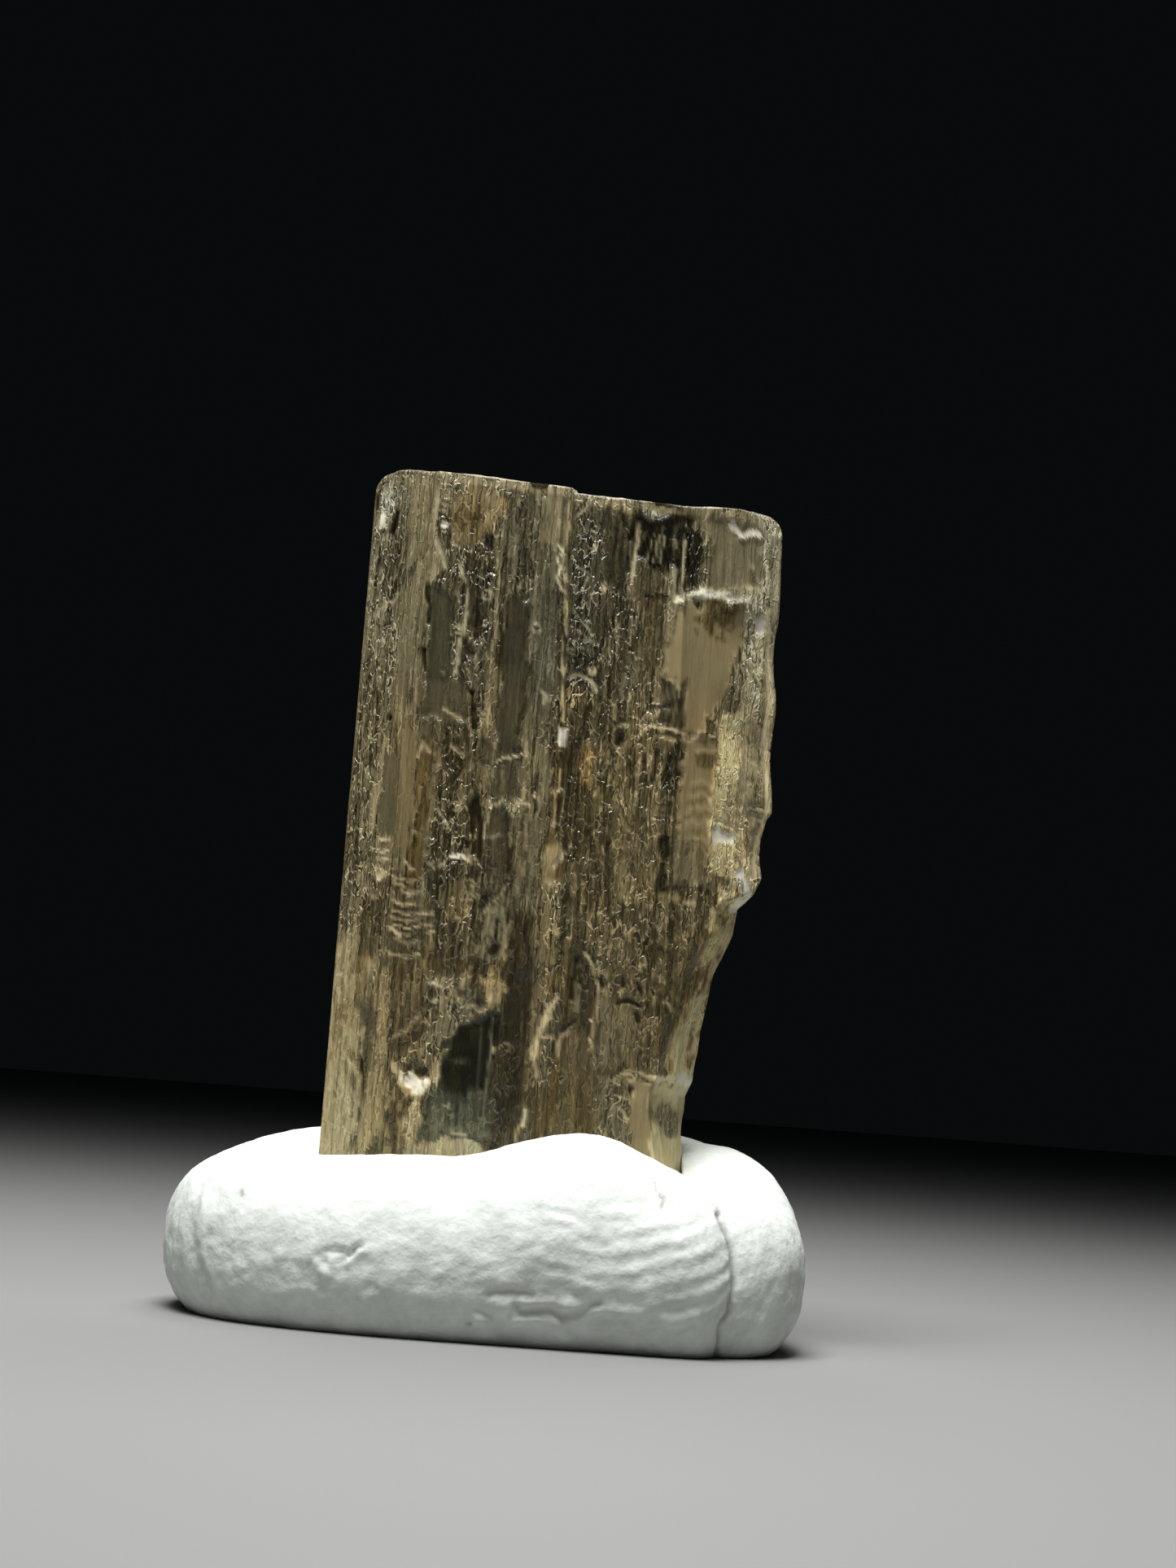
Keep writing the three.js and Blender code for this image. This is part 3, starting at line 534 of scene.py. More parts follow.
MIDDLE_LEFT_MARKS: Marks = (
    Patch("bevel_dot", arc(-3.4, 15.35, 0.06, 0.07), SLOT, 0.03),
    Trail("pale_stripe", (-3.5, 14.8, -3.55, 13.5, -3.6, 12.5), 0.12, Look(0.57, 0.35, 0.9, 0.7)),
    Patch("window_c", (-3.45, 14.4, -3.1, 14.4, -3.05, 12.3, -3.4, 12.3), Look(0.4, 0.13, 0.6, 0.92),
          0.05),
    *(Trail(f"white_rung_{k}", (-3.38, z, -3.15, z + 0.04), 0.05, Look(0.7, 0.25, 1, 0.8, 0, 0.3))
      for k, z in enumerate((12.2, 11.9, 11.7))),
    Patch("yellow_block", block(-3.38, -3.15, 11.2, 11.5), Look(0.74, 0.4, 1, 0.6), 0.05),
    Patch("smooth_a", (-3.05, 15, -2.6, 15, -2.6, 12, -2.95, 12), Look(0.45, 0.4, 0.8, 0.85), 0.06),
    Patch("brown_streak", (-2.5, 14.9, -2.25, 14.9, -2.25, 12.2, -2.3, 11, -2.55, 11, -2.55, 13.5,
          -2.6, 14.2), Look(0.32, 0.9, 0.7, 0.6, 0.3), 0.06),
    Trail("brown_dark", (-2.5, 12.9, -2.5, 12.1), 0.08, Look(0.15, 0.7, 0.7, 0.7)),
    Trail("white_curl", (-2.6, 14.4, -2.5, 14.8, -2.3, 14.6), 0.07, PALE),
    Patch("smooth_b", block(-2.22, -2, 11.8, 14.8), Look(0.42, 0.35, 0.75, 0.85), 0.05),
    Patch("grey_window_c", block(-2.4, -1.5, 15.4, 16.5), Look(0.35, 0.15, 0.5, 0.9), 0.06),
    Trail("window_pale", (-2.05, 15.7, -1.6, 15.5), 0.06, PALE),
    Trail("black_slot_a", (-1.35, 16.2, -1.25, 15.5, -1.2, 15.2), 0.1, SLOT),
    Trail("scribble", (-1.15, 15.75, -0.95, 15.65, -1.1, 15.55, -0.95, 15.45), 0.05, PALE),
    Patch("grey_window_d", block(-0.6, -0.02, 14.75, 17), Look(0.31, 0.12, 0.4, 0.85), 0.05),
    Trail("white_zigzag", (-0.55, 14.42, -0.3, 14.55, -0.2, 14.48, -0.1, 14.6, 0.05, 14.65), 0.04, SHEEN),
    Trail("pale_leaf", (-1.75, 14.72, -1.6, 14.66, -1.45, 14.55), 0.1, PALE),
    Patch("grey_patch", block(-1.1, -0.7, 14.3, 15), Look(0.33, 0.15, 0.5, 0.7), 0.06),
    *(Trail(f"short_rung_{k}", (x - 0.12, z, x + 0.1, z + 0.03), 0.06, PALE)
      for k, (x, z) in enumerate(((-1.45, 13.3), (-1.4, 13.1)))),
    Patch("black_slot_b", (-1.12, 13.45, -0.98, 13.45, -0.95, 12.9, -0.98, 12.5, -1.16, 12.5, -1.15, 13),
          SLOT, 0.03, 0.06),
    Trail("black_slot_c", (-0.98, 13.5, -0.88, 13, -0.84, 12.7, -0.79, 12.1, -0.8, 11.9), 0.13, SLOT,
          0.04, 0.02),
    Trail("slot_lip", (-0.72, 13.4, -0.7, 12.8, -0.68, 12.2), 0.05, PALE),
    Patch("black_dot", arc(-1.1, 12.2, 0.08, 0.12), SLOT, 0.03),
    Patch("veil", (-0.7, 13.4, -0.3, 13.5, 0, 13.45, 0.2, 13.4, 0.05, 13.1, -0.3, 13.3, -0.65, 13.15),
          Look(0.56, 0.2, 0.9, 0.2, 1.1), 0.05),
    Trail("veil_line", (-0.05, 13.47, 0.35, 13.35), 0.05, SHEEN),
    Patch("veil_dot", arc(0.4, 13.6, 0.05, 0.06), SHEEN, 0.03),
    Patch("dark_smooth_a", block(-0.6, -0.2, 12.5, 13.1), Look(0.3, 0.3, 0.5, 0.9), 0.06),
    Patch("dark_smooth_b", block(-0.6, -0.15, 13.6, 14.25), Look(0.3, 0.3, 0.5, 0.9), 0.06),
    Trail("tick_a", (-1.75, 12.78, -1.65, 12.6), 0.08, SHEEN),
    Trail("tick_b", (-1.95, 13.1, -1.85, 12.9), 0.06, PALE),
    Trail("tick_c", (-2.6, 12.6, -2.45, 12.45), 0.06, PALE),
    Trail("thin_arc", (-1.85, 11.55, -1.7, 11.7, -1.52, 11.87, -1.35, 11.95, -1.2, 11.93, -1.05, 11.82,
          -0.8, 11.77), 0.05, SHEEN, 0.04, 0.08),
    Trail("glint_b", (-1.5, 11.88, -1.35, 11.95, -1.24, 11.93), 0.08, WHITE_AND_GLINT, 0.03, 0.05),
    Trail("thin_arc_b", (-1.1, 11.9, -1, 11.97, -0.88, 11.9), 0.06, PALE, 0.04, 0.08),
    Trail("line_a", (-2.7, 11.7, -2.5, 11.55), 0.06, SHEEN),
    *(Trail(f"line_{k}", path, 0.06, PALE)
      for k, path in enumerate(((-2.1, 11.7, -1.95, 11.55), (-1.85, 11.6, -1.6, 11.85),
      (-2.95, 11.15, -2.4, 10.9), (-2.95, 10.9, -2.85, 10.7, -2.7, 10.6)))),
    Patch("comb_room", block(-2.95, -1.85, 9.5, 10.8), Look(0.31, 0.3, 0.7, 0.65, 0.3), 0.1),
    *(Trail(f"comb_{k}", arc(x, z, wide, 0.14, start, start + 125), 0.06, look)
      for k, (x, z, wide, start, look) in enumerate(((-2.6, 11.35, 0.4, 205, PALE),
      (-2.5, 11.02, 0.3, 215, PALE), (-2.62, 10.72, 0.34, 200, CREAM), (-2.55, 10.5, 0.4, 210, PALE),
      (-2.6, 10.33, 0.36, 205, PALE), (-2.55, 10.14, 0.38, 215, CREAM), (-2.62, 9.98, 0.3, 205, PALE),
      (-2.5, 9.8, 0.3, 215, PALE)))),
    *(Trail(f"comb_shade_{k}", arc(-2.57, z, 0.33, 0.14, 210, 325), 0.045, DUSK)
      for k, z in enumerate((10.62, 10.42, 10.24, 10.05, 9.88))),
    *(Patch(f"comb_blob_{k}", arc(x, z, wide, 0.055), CREAM, 0.04, 0.03)
      for k, (x, z, wide) in enumerate(((-1.98, 10.42, 0.16), (-2, 10.12, 0.12), (-1.9, 9.93, 0.13)))),
    Patch("pale_triangle", (-3.5, 10.7, -3.25, 10.65, -3.3, 10.8), PALE, 0.04),
    Flecks("dark_uprights", (-3.6, -3.2, 9.4, 10.7), 7, 1, 0.08, Look(0.17, 0.5, 0.6, 0.6), 0, 5),
    Trail("feather_a", (-0.62, 10.4, -0.45, 10.75, -0.2, 11, 0, 11.4), 0.05, PALE, 0.04, 0.08),
    Patch("feather_b", (-0.45, 10.55, -0.28, 10.55, -0.12, 10.8, -0.22, 10.85),
          Look(0.5, 0.15, 0.95, 0.7), 0.05, 0.06),
    Trail("feather_c", (-0.35, 10.9, -0.1, 11.3, 0.05, 11.7), 0.05, FIBRE, 0.04, 0.08),
    Trail("feather_dark", (-0.55, 10.9, -0.3, 11.15, -0.05, 11.35), 0.06, DUSK, 0.04, 0.08),
    *(Trail(f"curl_{k}", arc(-1, 11.1, r, r, 40, 330), 0.05, PALE) for k, r in enumerate((0.12, 0.24))),
    Patch("dark_window_b", block(0, 0.3, 9.8, 10.5), Look(0.15, 0.1, 0.2, 0.9), 0.06),
    Patch("brownish", block(-1.6, -1, 10.3, 11.3), Look(0.38, 0.5, 0.7, 0.3, 0.7), 0.1),
    Flecks("column_ticks", (-0.98, -0.62, 9.8, 15), 24, 0.3, 0.06, Look(0.14, 0.3, 0.6, 0.7), 0, 12),
    Flecks("mid_dark_lines", (-0.6, 0.7, 9.8, 13), 15, 1, 0.055, Look(0.13, 0.2, 0.45, 0.7), 1, 6),
    Flecks("mid_pale_lines", (-0.5, 0.75, 9.8, 14.5), 13, 0.9, 0.05, Look(0.52, 0.25, 0.9, 0.7), 1, 6),
)

MIDDLE_RIGHT_MARKS: Marks = (
    Patch("suture_patch", block(0.85, 1.3, 11.4, 12.5), Look(0.5, 0.45, 0.9, 0.7, 0.2), 0.06),
    Patch("tan_curly", block(0.85, 1.35, 8.6, 11.4), Look(0.47, 0.42, 0.85, 0.2, 0.9), 0.08),
    Trail("suture_mid", (1.06, 15.6, 1.07, 15, 1.06, 14.3, 1.04, 13.6, 1, 13, 0.97, 12.5, 0.88, 12.05),
          0.05, Look(0.62, 0.6, 1, 0.9, 0.2), 0.05, 0.06),
    Trail("suture_mid_shade", (1.2, 15, 1.16, 14, 1.12, 12.7), 0.08,
          Look(0.12, 0.3, 0.6, 0.6, 0, 0, 0.05)),
    Patch("white_block", block(0.96, 1.18, 14.95, 15.4), Look(1, 0.4, 1, 0.95, 0, 1, -0.03), 0.05, 0.02),
    Trail("suture_tick_a", (0.9, 13.75, 1.15, 13.85), 0.06, SHEEN),
    Trail("suture_tick_b", (0.95, 13, 1.15, 12.95), 0.05, SHEEN),
    Flecks("pale_cluster", (0.45, 0.85, 12.2, 14.8), 9, 1.3, 0.045, FIBRE, 1, 3, 0.04, 0.06),
    Patch("brown_corner", block(0.75, 1, 12.42, 12.62), Look(0.25, 0.8, 0.8, 0.6), 0.05),
    Patch("orange_hole", block(1.15, 1.35, 11.42, 11.95), Look(0.26, 1, 0.85, 0.7, 0, 0, 0.04), 0.05),
    Trail("white_diagonal", (1.1, 11.8, 1.3, 12.1, 1.5, 12.4), 0.06, SHEEN),
    Trail("dark_stroke", (1.42, 12.5, 1.42, 12.2), 0.06, SLOT),
    Flecks("dark_striae", (1.05, 1.55, 12.5, 15.2), 22, 0.9, 0.07, Look(0.13, 0.3, 0.45, 0.6), 1, 6),
    Patch("reddish", block(1.6, 1.9, 14, 15), Look(0.41, 0.85, 0.8, 0.5), 0.08),
    Patch("black_drop", (2.6, 15.48, 2.68, 15.25, 2.6, 15.05, 2.5, 15.02, 2.47, 15.15, 2.52, 15.35),
          Look(0.02, 0.3, 0.9, 1, 0, 0, 0.08), 0.04, 0.02),
    Trail("drop_curl", (2.48, 15.55, 2.6, 15.66, 2.72, 15.58), 0.06, PALE),
    Trail("dark_upright_a", (1.62, 16, 1.6, 15.3), 0.07, SLOT),
    Flecks("curly_tan", (2, 3.3, 12, 16.6), 30, 0.32, 0.06, Look(0.2, 0.45, 0.6, 0.6), 0, 35),
    Flecks("curly_pale", (2, 3.3, 12, 16.6), 20, 0.26, 0.055, Look(0.56, 0.4, 0.95, 0.7), 0, 60),
    Trail("wavy_crack", (2.95, 15.3, 3.1, 15.5, 3.35, 15.6, 3.6, 15.6, 3.85, 15.62, 4.1, 15.5, 4.4, 15.42,
          4.7, 15.4, 5, 15.5), 0.06, Look(0.62, 0.45, 1, 0.6, 0.2, 0.1, -0.02)),
    Trail("wavy_crack_shade", (3.3, 15.5, 3.6, 15.5, 3.85, 15.5, 4.1, 15.4, 4.4, 15.32, 4.7, 15.3), 0.05,
          DUSK),
    Trail("wavy_crack_low", (3.5, 15.42, 3.8, 15.38, 4.1, 15.3, 4.35, 15.3), 0.05, PALE),
    *(Trail(f"dark_rung_{k}", (3.3, z, 3.75, z + 0.04), 0.05, Look(0.12, 0.3, 0.6, 0.8))
      for k, z in enumerate((16.15, 15.78))),
    Trail("slot_c", (3.52, 15, 3.5, 14.6, 3.47, 14.2), 0.08, SLOT),
    Trail("slot_d", (3.2, 14.9, 3.2, 14.6), 0.05, SLOT),
    Patch("dark_column", (3.8, 15, 4.05, 15.3, 4.15, 15.2, 4.15, 14.4, 4.1, 13.9, 3.8, 13.8, 3.7, 14.3),
          Look(0.1, 0.3, 0.7, 0.2, 0.9, 0, 0.03), 0.05, 0.07),
    Patch("grey_lined", block(3.68, 4.02, 12.8, 13.9), Look(0.22, 0.2, 0.7, 0.4, 0.4), 0.05, 0.07),
    *(Trail(f"grey_rung_{k}", (3.7, z, 4, z + 0.05), 0.06, STAIN_AND_SHADE)
      for k, z in enumerate((13.7, 13.5, 13.32, 13.1, 12.92))),
    Patch("black_column", (3.75, 12.8, 3.98, 12.8, 4.02, 12.4, 3.95, 12, 4, 11.6, 4, 11.4, 3.82, 11.3,
          3.8, 12), Look(0.02, 0.6, 0.85, 0.6, 0.5, 0, 0.03), 0.04, 0.07),
    Trail("column_tick", (3.6, 12.85, 3.76, 12.87), 0.07, PALE),
    Patch("tan_window_low", (4.15, 15.4, 5.1, 15.4, 5.15, 13, 4.95, 11.7, 4.2, 11.6, 4.15, 13),
          Look(0.48, 0.5, 0.88, 0.95, 0.2), 0.08),
    Patch("window_grey", block(4.2, 5.05, 11.6, 12.8), Look(0.43, 0.3, 0.8, 0.7, 0.4), 0.2),
    Trail("window_line", (4.5, 15.1, 5.15, 15.12), 0.07, PALE),
    Patch("window_dark", (4.5, 15.02, 5.1, 15, 5.1, 14.66, 4.75, 14.62, 4.55, 14.8),
          Look(0.31, 0.5, 0.85, 0.8, 0.3), 0.05, 0.06),
    *(Trail(f"ripple_{k}", (4.4, z - 0.05, 4.65, z + 0.02, 4.85, z + 0.04, 5.05, z - 0.04), 0.05, look,
      0.08, 0.1) for k, (z, look) in enumerate(((14.3, PALE), (14.12, RIPPLE), (13.95, PALE),
      (13.78, RIPPLE), (13.6, PALE), (13.45, RIPPLE), (13.25, PALE), (13, RIPPLE), (12.8, PALE),
      (12.6, RIPPLE)))),
    Patch("window_speck", arc(4.88, 11.5, 0.045, 0.11), SLOT, 0.03),
    Patch("cream_blob_a", arc(4.25, 11.27, 0.16, 0.12), CREAM, 0.05),
    Patch("cream_blob_b", arc(4.62, 11.2, 0.13, 0.1), CREAM, 0.05),
    Patch("shingle", (5.17, 16.1, 5.62, 16.1, 5.72, 14.1, 6, 13.3, 6.1, 11.9, 5.1, 11.9, 5.05, 13.7),
          Look(0.8, 0.85, 1, 0.3, 0.9, 0.05), 0.08, 0.08),
    Flecks("shingle_dark", (5.1, 6, 11.7, 16.1), 44, 0.22, 0.06, Look(0.42, 0.5, 0.95, 0.7), 60, 40),
    Patch("stepped_strip", (5.74, 16, 6.4, 16, 6.6, 13.9, 6.5, 12.1, 6.12, 12, 6, 13.4, 5.78, 14.2),
          Look(0.5, 0.3, 0.95, 0.6, 0.5), 0.06, 0.05),
    *(Trail(f"step_rung_{k}", (5.72, z, 6, z + 0.05, 6.4, z - 0.06), 0.05, PALE, 0.04, 0.12)
      for k, z in enumerate((15.8, 15.3, 14.9, 14.35, 13.8, 13.5, 13.05, 12.6, 12.35))),
    Flecks("step_shades", (5.8, 6.4, 12.1, 15.9), 22, 0.4, 0.06, Look(0.3, 0.3, 0.9, 0.6), 0, 40),
    Trail("step_inner", (5.76, 15.3, 5.74, 14.6, 5.86, 13.9, 6.02, 13.2), 0.07, PALE, 0.04, 0.08),
    Trail("edge_line", (6.12, 18.9, 6.2, 17.6, 6.3, 16.8, 6.27, 16.05, 6.32, 15.2, 6.39, 14.45,
          6.45, 13.75, 6.3, 13.1, 6.24, 12.5, 6.28, 12), 0.11, Look(0.66, 0.4, 0.97, 0.7, 0.2, 0.08),
          0.04, 0.05),
    Patch("glint_c", (5.1, 13.1, 5.2, 13.2, 5.34, 13.12, 5.42, 12.98, 5.62, 12.98, 5.6, 12.78, 5.36, 12.7,
          5.22, 12.86), WHITE_AND_GLINT, 0.03, 0.1),
    Patch("glint_side", arc(5.16, 12.76, 0.06, 0.1), WHITE_AND_GLINT, 0.03),
    Patch("cream_lump_b", arc(5.12, 13.75, 0.07, 0.12), CREAM, 0.04),
    Patch("cream_lump_c", arc(5.4, 13.62, 0.1, 0.07), CREAM, 0.04),
    Patch("glint_d", (5.2, 12.62, 5.4, 12.62, 5.5, 12.4, 5.24, 12.38), CREAM, 0.05, 0.08),
    Trail("glint_line", (5.12, 13.3, 5.3, 13.34, 5.6, 13.2), 0.05, SHEEN),
    Patch("cream_lump", block(5.7, 5.9, 13.8, 14.1), CREAM, 0.05),
    Trail("glint_e", (5.86, 12.05, 5.96, 11.85, 6.04, 11.6, 6.04, 11.38, 5.92, 11.24), 0.22, WHITE_AND_GLINT, 0.03,
          0.06),
    Trail("glint_gap", (5.92, 11.9, 5.98, 11.62), 0.06, DUSK, 0.03, 0.04),
    Trail("glint_f", (5.7, 11.1, 5.9, 11.17), 0.12, WHITE_AND_GLINT, 0.03, 0.04),
    Patch("tip_cream", block(5.5, 6, 11.3, 11.5), CREAM, 0.06),
    Flecks("flakes", (4.6, 5.7, 8.5, 11.2), 22, 0.35, 0.07, Look(0.28, 0.35, 0.85, 0.7), 25, 25),
    Flecks("flakes_pale", (4.6, 5.8, 8.5, 11.2), 17, 0.32, 0.07, Look(0.6, 0.33, 0.95, 0.7), 25, 25),
    Patch("flake_blob", arc(5.28, 10.95, 0.09, 0.07), SHEEN, 0.04),
    Flecks("thick_striae", (1.5, 3.6, 9.6, 12.2), 27, 0.9, 0.08, Look(0.17, 0.35, 0.5, 0.6), 0, 5),
    Flecks("thick_pale", (1.5, 3.6, 9.6, 12.2), 18, 0.8, 0.06, Look(0.54, 0.38, 0.95, 0.7), 0, 5),
)

LOW_LEFT_MARKS: Marks = (
    Trail("loop", arc(-4.05, 8.6, 0.13, 0.09, -30, 230), 0.07, SHEEN),
    Trail("loop_tail", (-4.17, 8.6, -4.17, 8.3), 0.06, PALE),
    Patch("golden_bevel", block(-4.05, -3.65, 7.4, 8.05), Look(0.52, 0.6, 0.9, 0.6), 0.15, 0.15),
    Flecks("gold_stripes", (-3.65, -3.45, 8.1, 9), 5, 0.7, 0.06, Look(0.35, 0.7, 0.9, 0.7), 0, 4),
    Patch("grey_sliver", (-3.52, 8.1, -3.25, 8.1, -3.12, 7.2, -3.2, 6.5, -3.3, 6.6, -3.42, 7.2),
          Look(0.37, 0.1, 0.6, 0.85), 0.06),
    Trail("bevel_crack", (-3.42, 6.6, -3.36, 6.1, -3.28, 5.5), 0.06, SLOT),
    Patch("bevel_eye", arc(-3.42, 5.2, 0.07, 0.27), Look(0.2, 0.3, 0.7, 0.9, 0, 0, 0.04), 0.04),
    Flecks("bevel_grain", (-4.5, -3.4, 4.4, 9.6), 50, 0.5, 0.06, Look(0.42, 0.4, 0.9, 0.6), 0, 14),
    Flecks("bevel_whites", (-4.4, -3.4, 4.4, 9.6), 17, 0.4, 0.07, Look(0.7, 0.3, 1, 0.7), 0, 30),
    Patch("pale_column", (-3.2, 9, -2.88, 9, -2.8, 6.6, -2.75, 5, -3.3, 4, -3.3, 5.6, -3.1, 6.6),
          Look(0.52, 0.4, 0.9, 0.4, 0.5), 0.1, 0.12),
    Patch("umber_column", (-2.78, 9.3, -2.1, 9.35, -2.05, 7.95, -2.3, 7.6, -2.6, 7.2, -2.78, 7.7),
          Look(0.31, 0.45, 0.7, 0.45, 0.5), 0.08),
    Trail("umber_edge", (-2.65, 7.2, -2.3, 7.5, -1.95, 7.95), 0.07, PALE),
    Flecks("umber_lines", (-2.75, -2.15, 7.5, 9.2), 8, 0.8, 0.06, Look(0.18, 0.5, 0.7, 0.7), 2, 5),
    Patch("bead_a", arc(-3.12, 9.45, 0.06, 0.05), SHEEN, 0.03),
    Trail("bead_line", (-2.95, 9.36, -2.7, 9.3, -2.3, 9.3), 0.06, PALE),
    Patch("bead_b", arc(-2.18, 9.35, 0.06, 0.06), SHEEN, 0.03),
    Trail("bead_line_b", (-2.92, 9.97, -2.66, 9.76), 0.07, SHEEN),
    Patch("orange_tan", block(-2.02, -1.85, 8.3, 9.8), Look(0.48, 0.65, 0.9, 0.6), 0.05),
    Patch("olive_hole", block(-1.8, -1.5, 8.9, 9.35), Look(0.3, 0.7, 0.7, 0.6, 0, 0, 0.03), 0.06),
    Patch("grey_tan_low", block(-1.95, -0.75, 7, 8.9), Look(0.42, 0.3, 0.75, 0.2, 0.8), 0.1, 0.1),
    *(Patch(f"dot_{k}", arc(*oval), SHEEN, 0.03)
      for k, oval in enumerate(((-1.65, 8.6, 0.08, 0.07), (-1.65, 8.2, 0.05, 0.05),
      (-1.9, 6.97, 0.07, 0.07)))),
    Patch("umber_triangle", (-1.25, 8.35, -1, 8.75, -0.95, 8.4), Look(0.2, 0.6, 0.7, 0.7, 0, 0, 0.03),
          0.04),
    Trail("red_line", (-0.78, 10.3, -0.8, 9.6), 0.08, Look(0.13, 0.8, 0.7, 0.7)),
    Patch("green_slot", (-0.38, 9.4, -0.2, 9.4, -0.12, 10.3, -0.3, 10.35), Look(0.12, 0, 0.2, 0.9), 0.05),
    *(Trail(f"slot_line_{k}", (top, 10.7, (top + low) / 2, 10.1, low, 9.35), 0.04, FIBRE, 0.04, 0.08)
      for k, (top, low) in enumerate(((-0.4, -0.62), (-0.36, -0.48), (-0.3, -0.36), (-0.24, -0.16),
      (-0.18, 0), (-0.1, 0.1)))),
    Flecks("slot_fibres", (-0.9, 0.1, 9.3, 11.6), 22, 0.6, 0.04, FIBRE, 22, 14, 0.04, 0.06),
    Patch("gold_column", (-0.5, 8.9, 0.05, 8.9, 0.12, 8.6, -0.1, 8.25, -0.45, 8, -0.5, 8.5),
          Look(0.5, 0.6, 0.9, 0.4, 0.6), 0.06),
    Flecks("gold_flakes", (-1, 0.1, 8, 9.1), 16, 0.45, 0.09, Look(0.58, 0.6, 0.95, 0.6, 0.4), 12, 18,
           0.06),
    Flecks("gold_gaps", (-0.9, 0.1, 8.1, 9.2), 10, 0.4, 0.08, Look(0.13, 0.3, 0.5, 0.6), 10, 15, 0.05),
    Patch("gold_bit_a", (-0.28, 8.25, -0.1, 8.3, -0.08, 8.5, -0.25, 8.5), CREAM, 0.04),
    Patch("gold_bit_b", (-0.05, 8.5, 0.1, 8.55, 0.12, 8.75, 0, 8.75), CREAM, 0.04),
    Trail("crinkle", (-0.85, 8.1, -0.65, 8.2, -0.5, 8.05, -0.4, 8.15), 0.08, PALE),
    Flecks("low_scribble", (-1.8, -0.6, 7, 8.7), 17, 0.22, 0.06, Look(0.17, 0.4, 0.7, 0.7), 20, 60),
    Flecks("low_scribble_pale", (-2, -0.7, 6.9, 8.8), 17, 0.22, 0.055, Look(0.62, 0.3, 0.95, 0.7), 30,
           60),
    Patch("clear_window", (0.05, 8.1, -0.36, 7.95, -0.6, 7.8, -0.95, 7.65, -1.08, 7.34, -1.15, 7.03,
          -1.3, 6.73, -1.35, 6.3, -1.58, 5.89, -1.72, 5.41, -1.84, 4.83, -0.99, 4.68, -0.06, 4.76,
          -0.08, 5.92, -0.02, 7.03), CLEAR, 0.05, 0.07),
    Patch("clear_low", (-1.6, 5.95, -0.1, 5.95, -0.1, 4.7, -1.8, 4.75), Look(0.33, -0.3, 0.6, 0.6, 0.6),
          0.3, 0.3),
    Trail("clear_line_a", (-0.42, 7.7, -0.4, 6.5, -0.42, 5.2), 0.07, Look(0.3, 0.1, 0.35, 0.8)),
    Trail("clear_line_b", (-0.14, 7.9, -0.16, 7, -0.14, 4.8), 0.06, Look(0.42, 0.2, 0.6, 0.8)),
    Trail("clear_line_c", (-0.9, 5.9, -0.87, 5.4), 0.05, Look(0.2, 0.1, 0.4, 0.8)),
    Patch("side_bump", arc(-0.08, 7.1, 0.09, 0.08), PALE, 0.04),
    Trail("scribble_low", (-1.2, 5.6, -1.1, 5.66, -1.05, 5.55), 0.05, PALE),
    Patch("foot_pale", (-2.1, 4.72, -1.5, 4.72, -0.95, 4.85, -0.1, 4.66, -0.05, 4.2, -2.2, 4.1),
          Look(0.56, 0.15, 0.9, 0.6), 0.06),
    Trail("foot_dash", (-0.95, 4.95, -0.6, 4.9), 0.07, PALE),
    Patch("pit_rim", (-2.5, 6.2, -2.55, 6.7, -2.2, 7.1, -1.75, 7.15, -1.35, 6.9, -1.3, 6.4, -1.5, 5.95,
          -2.1, 5.8), Look(0.42, 0.5, 0.9, 0, 1.1), 0.12, 0.15),
    Patch("pit_dark", (-2.32, 6.5, -2.15, 6.72, -1.9, 6.62, -1.72, 6.45, -1.78, 6.22, -1.95, 6.3,
          -2.1, 6.36, -2.25, 6.36), Look(0.17, 0.6, 0.8, 0.5, 0.6, 0, 0.07), 0.06, 0.07),
    Patch("pit_glitter", (-2.42, 6.42, -2.25, 6.3, -2.05, 6.28, -1.88, 6.14, -1.7, 6.2, -1.66, 6.02,
          -1.8, 5.9, -2.1, 5.96, -2.3, 6.14), WHITE_AND_GLINT, 0.05, 0.14),
    Flecks("pit_gaps", (-2.4, -1.7, 5.95, 6.35), 9, 0.18, 0.05, Look(0.2, 0.5, 0.9, 0.6, 0, 0), 10, 80),
    Patch("pit_brown", arc(-2.05, 6.52, 0.12, 0.08), Look(0.4, 0.8, 0.9, 0.6), 0.05, 0.06),
    Trail("pit_lip", (-2.6, 6.6, -2.5, 6.35, -2.36, 6.12, -2.1, 5.9, -1.85, 5.8), 0.09, CREAM, 0.06,
          0.08),
    Patch("pit_shoulder", (-1.62, 6.62, -1.38, 6.72, -1.3, 6.35, -1.5, 6.05, -1.64, 6.25), CREAM, 0.08,
          0.1),
    Flecks("mottle_dark", (-2.7, -2.1, 4.2, 6), 22, 0.35, 0.09, Look(0.18, 0.6, 0.8, 0.7), 0, 14),
    Flecks("mottle_gold", (-2.7, -2.1, 4.2, 6), 16, 0.35, 0.08, Look(0.55, 0.5, 0.95, 0.6), 0, 14),
    Patch("mottle_hole", arc(-2.12, 5.68, 0.05, 0.12), SLOT, 0.03),
    Patch("pale_pillar", (-2.12, 5.8, -1.9, 5.8, -1.75, 5.2, -1.9, 4.55, -2.15, 4.55),
          Look(0.6, 0.3, 0.95, 0.3, 0.6), 0.05),
)

